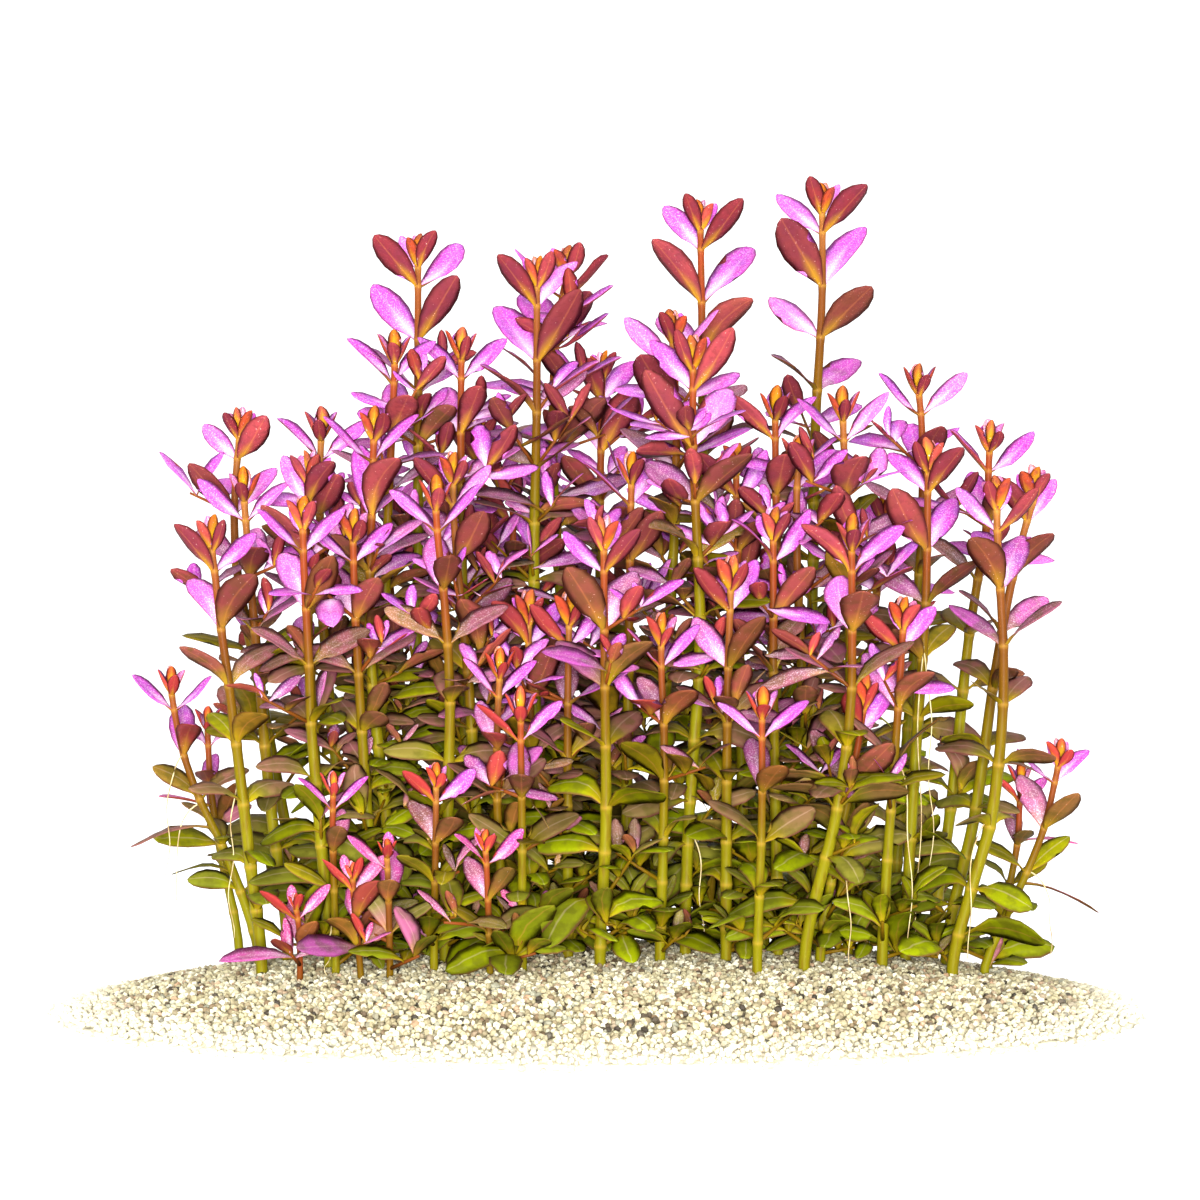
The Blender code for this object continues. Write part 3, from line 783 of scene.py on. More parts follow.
@dataclass
class Grains:
    """Loose grains: small uneven lumps of twenty faces that cover the bed, in four pieces."""

    bed: SandBed
    spacing: float = 1.5 * MM
    row_spacing: float = 0.87
    scatter: float = 0.38
    size: Span = (0.56 * MM, 0.98 * MM)
    stretch: Span = (0.72, 1.2)
    spill: float = 3 * MM
    spill_share: float = 0.25
    sunk: float = 0.15
    roughness: float = 0.16
    pieces: int = 4

    def places(self, chance: Chance) -> np.ndarray:
        """Middle points of the grains: a staggered grid with chance, thin beyond the lip.

        Args:
            chance: where the differences come from.

        Returns:
            A row for each grain: x and y.
        """
        away, along = self.bed.half_width + self.spill, self.bed.half_length + self.spill
        rows = np.arange(-away, away, self.row_spacing * self.spacing)
        columns = np.arange(-along, along, self.spacing)
        x = columns[None, :] + (np.arange(len(rows)) % 2)[:, None] * 0.5 * self.spacing
        y = np.repeat(rows[:, None], len(columns), axis=1)
        grid = np.column_stack([x.ravel(), y.ravel()])
        grid += chance.uniform(-self.scatter, self.scatter, grid.shape) * self.spacing
        reach = self.bed.reach(grid[:, 0], grid[:, 1])
        outer = 1 + self.spill / self.bed.half_width
        thin = np.clip((outer - reach) / (outer - 1), 0, 1) * self.spill_share
        return grid[chance.random(len(grid)) < np.where(reach < 1, 1.0, thin)]

    def lump(self) -> tuple[np.ndarray, np.ndarray]:
        """Make the lump that each grain starts from.

        Returns:
            Its twelve points and its twenty faces.
        """
        shape = bmesh.new()
        bmesh.ops.create_icosphere(shape, subdivisions=1, radius=1.0)
        points = np.array([vert.co for vert in shape.verts])
        faces = np.array([[vert.index for vert in face.verts] for face in shape.faces])
        shape.free()
        return points, np.column_stack([faces, faces[:, 2]])

    def turns(self, count: int, chance: Chance) -> np.ndarray:
        """Turn each grain any way, by a matrix made from a unit quaternion.

        Args:
            count: how many grains there are.
            chance: where the turns come from.

        Returns:
            A matrix for each grain.
        """
        w, x, y, z = unit(chance.normal(size=(count, 4))).T
        rows = [[1 - 2 * (y * y + z * z), 2 * (x * y - z * w), 2 * (x * z + y * w)],
                [2 * (x * y + z * w), 1 - 2 * (x * x + z * z), 2 * (y * z - x * w)],
                [2 * (x * z - y * w), 2 * (y * z + x * w), 1 - 2 * (x * x + y * y)]]
        return np.moveaxis(np.array(rows), 2, 0)

    def build(self) -> list[bpy.types.Object]:
        """Make the grains: the lump stretched, roughened, turned and set down for each.

        Returns:
            The grains' pieces, from left to right.
        """
        chance = np.random.default_rng(SEED)
        flat = self.places(chance)
        flat = flat[np.argsort(flat[:, 0])]
        count = len(flat)
        size = chance.uniform(*self.size, count)
        stretch = size[:, None] * chance.uniform(*self.stretch, (count, 3))
        lump, faces = self.lump()
        points = lump[None] * (1 + chance.uniform(-self.roughness, self.roughness, (count, len(lump), 3)))
        points = np.einsum("gpi,gij->gpj", points * stretch[:, None], self.turns(count, chance))
        outside = self.bed.reach(flat[:, 0], flat[:, 1]) > 1
        ground = np.where(outside, 0.0, self.bed.height(flat[:, 0], flat[:, 1]))
        rest = np.where(outside, -points[:, :, 2].min(axis=1), size * (1 - 2 * self.sunk))
        points = points + np.column_stack([flat, ground + rest])[:, None]
        tint = chance.random(count)
        material = SandFinish("loose sand", self.bed.half_length, self.bed.half_width).of_grains()
        made = []
        for order, part in enumerate(np.array_split(np.arange(count), self.pieces)):
            starts = np.arange(len(part)) * len(lump)
            patch = Patch(
                points[part].reshape(-1, 3), (faces[None] + starts[:, None, None]).reshape(-1, 4),
                np.zeros(len(part) * len(faces), int), {"tint": np.repeat(tint[part], len(lump))})
            name = f"sand_grains_{order + 1}"
            made.append(make_piece(name, [patch], [material], Slot.SAND, [], smooth=False))
        return made


# The frame's plants


@dataclass(frozen=True)
class Seat:
    """Where a leaf grows: its base on the stem, its tip, and its ring, counted from the foot.

    A leaf of a side shoot is younger than the plant at its height, by the share in freshness, and
    a drooping one narrower and less rolled than its age makes it, by the share in slimness.
    """

    base: np.ndarray
    tip: np.ndarray
    ring: int = -1
    freshness: float = 1.0
    slimness: float = 1.0


@dataclass(frozen=True)
class Twig:
    """The straight stalk of a side shoot or branch: its base, tip, radius and age as a share."""

    base: np.ndarray
    tip: np.ndarray
    radius: float
    freshness: float


class Skeleton:
    """What a plant's solid says: its stem's rings from the foot up, its tip and its leaves.

    A ring is four corners at one height, close together. A leaf's tip is joined to two corners of
    one ring, and stands further off than the crown point over them. All that is random about the
    plant comes from its own chance.
    """

    weld: float = 0.002 * MM
    level: float = 0.01 * MM
    span: float = 3.8 * MM
    least_leaf: float = 4 * MM
    set_in: float = 0.5

    def __init__(self, name: str, seed: int) -> None:
        """Read a solid.

        Args:
            name: its node's name.
            seed: what the plant's chance starts from.
        """
        self.name = name
        self.chance = np.random.default_rng(seed)
        shape = bmesh.new()
        shape.from_mesh(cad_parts[name].data)
        bmesh.ops.remove_doubles(shape, verts=shape.verts[:], dist=self.weld)
        points = np.array([vert.co for vert in shape.verts])
        edges = np.array([[vert.index for vert in edge.verts] for edge in shape.edges])
        shape.free()
        aside = np.linalg.norm(points[:, None, :2] - points[None, :, :2], axis=2)
        together = (np.abs(points[:, None, 2] - points[None, :, 2]) < self.level) & (aside < self.span)
        found = {tuple(np.flatnonzero(row)) for row in together if row.sum() == 4}
        rings = sorted(found, key=lambda ring: points[list(ring), 2].mean())
        self.centres = np.array([points[list(ring)].mean(axis=0) for ring in rings])
        corner = points[rings[0][0]] - self.centres[0]
        self.corner_radius = np.linalg.norm(corner)
        self.turn = math.atan2(corner[1], corner[0]) + math.pi / 4
        ring_of = {corner: index for index, ring in enumerate(rings) for corner in ring}
        linked: dict[int, list[int]] = {}
        for one, other in np.vstack([edges, edges[:, ::-1]]):
            if other in ring_of and one not in ring_of:
                linked.setdefault(int(one), []).append(int(other))
        self.tip = points[points[:, 2].argmax()]
        for point, corners in linked.items():
            if {ring_of[corner] for corner in corners} == {len(rings) - 1} and len(corners) == 4:
                self.tip = points[point]
        self.seats: list[Seat] = []
        for point, corners in linked.items():
            if len(corners) != 2 or ring_of[corners[0]] != ring_of[corners[1]]:
                continue
            middle = self.centres[ring_of[corners[0]]]
            base = middle + self.set_in * (points[corners].mean(axis=0) - middle)
            if np.linalg.norm(points[point] - base) > self.least_leaf:
                self.seats.append(Seat(base, points[point], ring_of[corners[0]]))

    @property
    def foot(self) -> np.ndarray:
        """Where the stem leaves the sand."""
        return self.centres[1]

    def axis(self, heights: np.ndarray) -> np.ndarray:
        """The stem's axis at given heights.

        Between two known centres it is a cubic in the height, whose slope at each centre is that
        of the line between the centres on its two sides.

        Args:
            heights: where the axis is wanted.

        Returns:
            A point for each height.
        """
        known = np.vstack([self.centres, self.tip])
        z = known[:, 2]
        slopes = np.gradient(known[:, :2], z, axis=0)
        span = np.clip(np.searchsorted(z, heights) - 1, 0, len(z) - 2)
        run = z[span + 1] - z[span]
        t = (np.clip(heights, z[0], z[-1]) - z[span]) / run
        t, run = t[:, None], run[:, None]
        low, high = known[span, :2], known[span + 1, :2]
        place = low + (high - low) * (3 * t**2 - 2 * t**3)
        place += slopes[span] * run * (t - 2 * t**2 + t**3) + slopes[span + 1] * run * (t**3 - t**2)
        return np.column_stack([place, heights])

    def point(self, height: float) -> np.ndarray:
        """The stem's axis at one height."""
        return self.axis(np.array([height]))[0]

    def drop(self, heights: np.ndarray) -> np.ndarray:
        """How far below the plant's tip heights are."""
        return self.tip[2] - heights


# The plants' pieces


@dataclass
class Foliage:
    """Leaves as rows of numbers: one row, or one number, for each leaf.

    The arch and the fold have a start, what age adds to it, and a spread. Leaves roll the face to
    the front that already looks there: the lower one where the leaf points to the front, the
    upper one where it points to the back. Those that point to the side roll either face there,
    more often the upper one.
    """

    arches: ClassVar[tuple[float, float, float]] = (-0.03, 0.2, 0.035)
    folds: ClassVar[tuple[float, float, float]] = (0.3, -0.42, 0.12)
    widening: ClassVar[float] = 0.28
    widths: ClassVar[Span] = (0.85, 1.15)
    front_roll: ClassVar[Span] = (22.0, 50.0)
    upper_share: ClassVar[float] = 0.88
    sideways: ClassVar[float] = 0.36
    bend_spread: ClassVar[float] = 0.035
    twist_spread: ClassVar[float] = 0.16
    ripples: ClassVar[Span] = (0.01, 0.1)

    base: np.ndarray
    tip: np.ndarray
    age: np.ndarray
    width: np.ndarray
    arch: np.ndarray
    fold: np.ndarray
    roll: np.ndarray
    bend: np.ndarray
    twist: np.ndarray
    ripple: np.ndarray
    tint: np.ndarray

    @classmethod
    def grown(cls, seats: list[Seat], age: np.ndarray, chance: Chance, width: float) -> "Foliage":
        """Give leaves their form by age: young ones channelled and upright, old ones arched.

        Args:
            seats: where they grow.
            age: 0 in the bud to 1 for the oldest.
            chance: where each leaf's own difference comes from.
            width: the usual width as a share of the length.

        Returns:
            The leaves.
        """
        count = len(seats)
        base = np.array([seat.base for seat in seats]).reshape(-1, 3)
        tip = np.array([seat.tip for seat in seats]).reshape(-1, 3)
        way = unit(tip - base)
        level = unit(way[:, :2])
        arch, fold = (start + added * age + chance.normal(0, spread, count)
                      for start, added, spread in (cls.arches, cls.folds))
        facing = np.where(chance.random(count) < cls.upper_share, 1.0, -1.0)
        shown = way[:, 2] * level[:, 1]
        facing = np.where(np.abs(shown) > cls.sideways, np.sign(shown), facing)
        slimness = np.array([seat.slimness for seat in seats])
        return cls(
            base=base,
            tip=tip,
            age=age,
            width=width * slimness * (1 + cls.widening * age) * chance.uniform(*cls.widths, count),
            arch=arch,
            fold=fold,
            roll=level[:, 0] * facing * slimness**3 * np.radians(chance.uniform(*cls.front_roll, count)),
            bend=chance.normal(0, cls.bend_spread, count),
            twist=chance.normal(0, cls.twist_spread, count),
            ripple=chance.uniform(*cls.ripples, count),
            tint=chance.uniform(0, 1, count))


@dataclass(frozen=True)
class Blade:
    """The form of a leaf: a closed lens-shaped skin, widest past its middle, with a midrib.

    A leaf shorter than full_length is thinner, and its midrib is as high as rib where it is as
    long as ribbed_length.
    """

    sections: int = 8
    columns: int = 4
    toward_base: float = 0.95
    toward_tip: float = 0.68
    stalk: float = 0.5 * MM
    stalk_power: int = 5
    rolled_from: float = 0.3
    wave_count: float = 9.0
    wave_start: float = 20.0
    edge_power: float = 1.4
    thickness: float = 0.36 * MM
    full_length: float = 18 * MM
    thick_base: float = 0.08
    rib: float = 0.3 * MM
    rib_width: float = 0.2
    ribbed_length: float = 24 * MM

    def rings(self, leaves: Foliage, u: np.ndarray, v: np.ndarray, side: np.ndarray) -> np.ndarray:
        """Work out the points of all the leaves at once.

        u runs from the base to the tip and v from 1 to -1 across. Half the width is u to one
        power times 1 - u to another, scaled to its greatest, and near the base the stalk times
        1 - u to a third. The midline is the line from base to tip, raised by the arch times
        4u(1 - u)(1.4 - 0.8u) and moved aside by the bend times 4u(1 - u). The edges rise by the
        fold times |v| to a power, and by a wave along u. The way across turns by the roll, which
        is whole from rolled_from on, and with u by the twist. Each face stands off the middle by
        a half ellipse in v, twice as far at the base, the lower one also by the midrib.

        Args:
            leaves: the leaves to make.
            u: the rings' places, along the second axis.
            v: the points' places in a ring, along the third axis.
            side: 1 on the upper face, -1 on the lower one and 0 on the edge, for each v.

        Returns:
            The points, with axes for the leaf, the ring, the place in it, and x, y and z.
        """
        width, arch, fold, roll, bend, twist, ripple, tint = (
            row[:, None, None] for row in (leaves.width, leaves.arch, leaves.fold, leaves.roll,
                                           leaves.bend, leaves.twist, leaves.ripple, leaves.tint))
        base, run = leaves.base[:, None, None], (leaves.tip - leaves.base)[:, None, None]
        length = np.linalg.norm(run, axis=-1)
        along = unit(run)
        across = unit(np.stack([-along[..., 1], along[..., 0], np.zeros_like(length)], axis=-1))
        up = np.cross(along, across)
        widest = self.toward_base / (self.toward_base + self.toward_tip)
        shape = (u / widest) ** self.toward_base * ((1 - u) / (1 - widest)) ** self.toward_tip
        half = 0.5 * width * length * shape + self.stalk * (1 - u) ** self.stalk_power
        turn = roll * np.minimum(1, u / self.rolled_from) + twist * (u - self.rolled_from)
        wave = ripple * np.sin(self.wave_count * u + self.wave_start * tint)
        lift = half * (fold * np.abs(v) ** self.edge_power + wave * v**2)
        thick = 0.5 * self.thickness * (1 + np.exp(-u / self.thick_base))
        thick = thick * np.minimum(1, length / self.full_length)
        lift = lift + side * thick * np.sqrt(1 - v**2)
        ridge = self.rib * (side < 0) * np.exp(-((v / self.rib_width) ** 2))
        lift = lift - ridge * (1 - u) * length / self.ribbed_length
        sideways = half * v * np.cos(turn) - lift * np.sin(turn)
        upward = half * v * np.sin(turn) + lift * np.cos(turn)
        bow = length * 4 * u * (1 - u)
        sideways = sideways + bend * bow
        upward = upward + arch * bow * (1.4 - 0.8 * u)
        return base + run * u[..., None] + across * sideways[..., None] + up * upward[..., None]

    def patch(self, leaves: Foliage) -> Patch:
        """Make the leaves' skins, whose rings lie closer together at both ends.

        Args:
            leaves: the leaves to make.

        Returns:
            Their skins, with along, across, age and tint at each point.
        """
        count, around = len(leaves.base), 2 * self.columns
        v = np.linspace(1, -1, self.columns + 1)
        v = np.concatenate([v, v[-2:0:-1]])
        side = np.repeat([1.0, -1.0], [self.columns + 1, self.columns - 1]) * (np.abs(v) < 1)
        u = 0.5 - 0.5 * np.cos(np.pi * np.arange(self.sections) / self.sections)
        rings = self.rings(leaves, u[None, :, None], v[None, None, :], side)
        rings = rings.reshape(count, self.sections * around, 3)
        points = np.concatenate([leaves.base[:, None], rings, leaves.tip[:, None]], axis=1)
        each = points.shape[1]
        faces = capsule_faces(self.sections, around)
        skins = np.where(np.arange(len(faces)) % around < self.columns, Skin.UPPER, Skin.UNDER)
        starts = np.arange(count) * each
        along = np.concatenate([[0], np.repeat(u, around), [1]])
        across = np.concatenate([[0], np.tile(v, self.sections), [0]])
        return Patch(
            points.reshape(-1, 3),
            (faces[None] + starts[:, None, None]).reshape(-1, 4),
            np.tile(skins, count),
            {"along": np.tile(along, count), "across": np.tile(across, count),
             "age": np.repeat(leaves.age, each), "tint": np.repeat(leaves.tint, each)})


@dataclass
class Growth:
    """How a plant grows older with the distance below its tip, and greener near the sand."""

    leaf_share: float = 0.7
    leaf_range: Span = (80 * MM, 150 * MM)
    stem_share: float = 0.65
    stem_range: Span = (48 * MM, 86 * MM)
    shade_height: float = 66 * MM
    shade_depth: float = 0.55
    crown: float = 34 * MM

    def leaf_age(self, plant: Skeleton, heights: np.ndarray) -> np.ndarray:
        """Age of leaves by their drop below the tip, and older in the shade near the sand.

        Args:
            plant: their plant.
            heights: their bases' heights.

        Returns:
            An age of 0 to 1 for each.
        """
        whole = float(np.clip(self.leaf_share * plant.tip[2], *self.leaf_range))
        drop = plant.drop(heights)
        shade = self.shade_depth * np.clip(1 - heights / self.shade_height, 0, 1)
        return np.clip(drop / whole + shade * np.clip(drop / self.crown, 0, 1), 0, 1)

    def stem_age(self, plant: Skeleton, heights: np.ndarray) -> np.ndarray:
        """Age of the stem by its drop below the tip."""
        whole = float(np.clip(self.stem_share * plant.tip[2], *self.stem_range))
        return np.clip(plant.drop(heights) / whole, 0, 1)


@dataclass
class StemTube:
    """The stem: a round tube that swells at each joint and tapers into the bud.

    joint_step gives the rings round a joint, in millimetres above it.
    """

    around: int = 10
    thickness: float = 0.82
    youngest: float = 0.52
    girth_range: float = 78 * MM
    joint_step: tuple[float, ...] = (-1.9, -0.8, 0.0, 0.7, 1.7)
    swelling: float = 0.14
    swelling_reach: float = 1.0 * MM
    ring_reach: float = 0.55 * MM
    between: float = 4.5 * MM
    into_bud: float = 0.55
    taper_length: float = 0.35
    taper_least: float = 0.25

    def patch(self, plant: Skeleton, joints: np.ndarray, growth: Growth, tint: float) -> Patch:
        """Carry the stem's profile from its foot into the bud.

        The radius grows with age, swells by a bell curve of the height at each joint, and goes
        with the square root of what is left of the way at the top.

        Args:
            plant: the plant.
            joints: heights of its joints.
            growth: how it ages.
            tint: its own difference in colour.

        Returns:
            The stem, with age, joint and tint at each point.
        """
        bud = plant.tip[2] - plant.centres[-1][2]
        low, high = plant.centres[0][2], plant.centres[-1][2] + self.into_bud * bud
        even = np.linspace(low, high, int((high - low) / self.between) + 2)
        close = (joints[:, None] + np.array(self.joint_step) * MM).ravel()
        close = close[(close > low) & (close < high)]
        heights = np.unique(np.round(np.concatenate([even, close]), 5))
        grown = np.clip(plant.drop(heights) / self.girth_range, 0, 1)
        radius = plant.corner_radius * self.thickness * (self.youngest + (1 - self.youngest) * grown)
        away = np.abs(heights[:, None] - joints).min(axis=1, initial=1.0)
        radius = radius * (1 + self.swelling * np.exp(-((away / self.swelling_reach) ** 2)))
        radius = radius * np.clip((high - heights) / (self.taper_length * bud), self.taper_least, 1) ** 0.5
        values = {"age": growth.stem_age(plant, heights), "tint": np.full(len(heights), tint),
                  "joint": np.exp(-((away / self.ring_reach) ** 2))}
        return tube(plant.axis(heights), radius, self.around, Skin.STEM, values)


@dataclass
class Bud:
    """The bud: crossed pairs of tiny cupped leaves pressed together, the last up to the tip.

    Each row gives a pair's place up the bud, its length as a share of the bud's height, its rise
    in degrees and its age.
    """

    pairs: tuple[tuple[float, float, float, float], ...] = ((0.0, 0.92, 62, 0.03), (0.2, 0.76, 79, 0.0))
    width: float = 0.46
    cupped: float = 0.6
    arch: float = -0.05
    roll: float = 0.3
    set_in: float = 0.15 * MM
    swing: float = 0.12
    lengths: Span = (0.92, 1.04)

    def leaves(self, plant: Skeleton, turn: float) -> Foliage:
        """Place the bud's leaves.

        Args:
            plant: the plant.
            turn: the direction of the uppermost leaf pair.

        Returns:
            The bud's leaves.
        """
        chance = plant.chance
        start = plant.centres[-1]
        height = plant.tip - start
        seats = []
        for order, (place, share, rise, _) in enumerate(self.pairs):
            for half in range(2):
                azimuth = crossed(turn, order, half) + chance.normal(0, self.swing)
                base = start + height * place + heading(azimuth, 0.0) * self.set_in
                length = float(np.linalg.norm(height)) * share * chance.uniform(*self.lengths)
                seats.append(Seat(base, base + heading(azimuth, math.radians(rise)) * length))
        age = np.repeat([row[3] for row in self.pairs], 2)
        bud = Foliage.grown(seats, age, chance, self.width)
        bud.fold = np.full(len(seats), self.cupped)
        bud.arch = np.full(len(seats), self.arch)
        bud.roll = self.roll * bud.roll
        return bud


class Thicket:
    """What already grows, so that new leaves find room: the sand, the solids and what is new.

    A new leaf counts as a flat slab round it, and a branch as a rod. Both are a pole, rings of
    four corners and a pole. half_widths gives each ring of a slab its place along the leaf, and
    half its width as a share of the leaf's length. A leaf without room tries other lengths as
    shares, other rises and other directions in degrees, in that order.
    """

    start: float = 0.16
    rod_start: float = 4 * MM
    margin: float = 0.25 * MM
    half_height: float = 0.035
    half_widths: tuple[Span, ...] = ((0.16, 0.07), (0.4, 0.19), (0.75, 0.18), (1.0, 0.03))
    over_sand: float = 0.8 * MM
    shares: tuple[float, ...] = (1.0, 0.8, 0.6)
    lifts: tuple[float, ...] = (0, 18, -18)
    swings: tuple[float, ...] = (0, 25, -25)

    def __init__(self, names: list[str], bed: SandBed) -> None:
        """Start with the sand and some solids.

        Args:
            names: the solids' names.
            bed: the sand.
        """
        points: list[np.ndarray] = []
        faces: list[np.ndarray] = []
        count = 0
        for name in names:
            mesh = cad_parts[name].data
            places = np.empty(len(mesh.vertices) * 3, np.float32)
            mesh.vertices.foreach_get("co", places)
            corners = np.empty(len(mesh.loops), np.int32)
            mesh.loops.foreach_get("vertex_index", corners)
            points.append(places.reshape(-1, 3))
            faces.append(corners.reshape(-1, 3) + count)
            count += len(mesh.vertices)
        self.bed = bed
        self.solids = BVHTree.FromPolygons(np.vstack(points).tolist(), np.vstack(faces).tolist())
        self.kept: list[BVHTree] = []
        self.lows = np.empty((0, 3))
        self.highs = np.empty((0, 3))
        self.faces = capsule_faces(len(self.half_widths), 4)

    def slab(self, seat: Seat) -> np.ndarray:
        """A thin closed slab round a leaf, clear of its own stem.

        Args:
            seat: the leaf.

        Returns:
            The slab's points: a pole, four points in each ring, and a pole.
        """
        run = seat.tip - seat.base
        along = unit(run)
        across = unit(np.array([-along[1], along[0], 0.0]))
        length = float(np.linalg.norm(run))
        place, half = np.array(self.half_widths).T[..., None]
        middle = seat.base + run * place
        side = across * (half * length + self.margin)
        lift = np.cross(along, across) * (self.half_height * length + self.margin)
        rings = np.stack([middle + side - lift, middle + side + lift,
                          middle - side + lift, middle - side - lift], axis=1)
        return np.vstack([seat.base + run * self.start, rings.reshape(-1, 3), seat.tip])

    def rod(self, twig: Twig) -> np.ndarray:
        """A thin closed rod round a stalk, clear of its own stem.

        Args:
            twig: the stalk.

        Returns:
            The rod's points, in the same order as a slab's.
        """
        start = twig.base + self.rod_start * unit(twig.tip - twig.base)
        places = start + (twig.tip - start) * np.linspace(0, 1, len(self.half_widths))[:, None]
        corners = np.array([[1, -1, 0], [1, 1, 0], [-1, 1, 0], [-1, -1, 0]]) * twig.radius
        return np.vstack([start, (places[:, None] + corners).reshape(-1, 3), twig.tip])

    def has_room(self, points: np.ndarray, floor: float) -> bool:
        """Whether a slab or rod clears the sand, the solids and all that is new; if so it is kept.

        Args:
            points: the slab or rod.
            floor: the least height that it may reach down to.

        Returns:
            Whether it was kept.
        """
        low, high = points.min(axis=0), points.max(axis=0)
        if low[2] < floor:
            return False
        shape = BVHTree.FromPolygons(points.tolist(), self.faces.tolist())
        if shape.overlap(self.solids):
            return False
        near = np.flatnonzero(np.all(self.lows < high, axis=1) & np.all(self.highs > low, axis=1))
        if any(shape.overlap(self.kept[index]) for index in near):
            return False
        self.kept.append(shape)
        self.lows = np.vstack([self.lows, low])
        self.highs = np.vstack([self.highs, high])
        return True

    def leaf(self, centre: np.ndarray, away: float, azimuth: float, rise: float,
             length: float) -> Seat | None:
        """Grow a leaf in the first of its variations that meets nothing.

        Args:
            centre: the middle of the stem or stalk that it grows on.
            away: how far from it the leaf's base lies.
            azimuth: its direction seen from above.
            rise: its rise in degrees.
            length: its length.

        Returns:
            The leaf, or None where there is no room.
        """
        for share, lift, swing in product(self.shares, self.lifts, self.swings):
            turned = azimuth + math.radians(swing)
            base = centre + heading(turned, 0.0) * away
            seat = Seat(base, base + heading(turned, math.radians(rise + lift)) * length * share)
            if self.has_room(self.slab(seat), self.bed.height(*seat.tip[:2]) + self.over_sand):
                return seat
        return None


@dataclass(frozen=True)
class Droop:
    """A long old leaf that hangs out at the side: its plant, height, direction, rise and length."""

    plant: str
    height: float
    azimuth: float
    rise: float
    length: float


@dataclass(frozen=True)
class Pair:
    """A crossed pair on a stalk: its place along it, its length, its rise in degrees and its age.

    The age is a share of the shoot's.
    """

    place: float
    length: float
    rise: float
    share: float


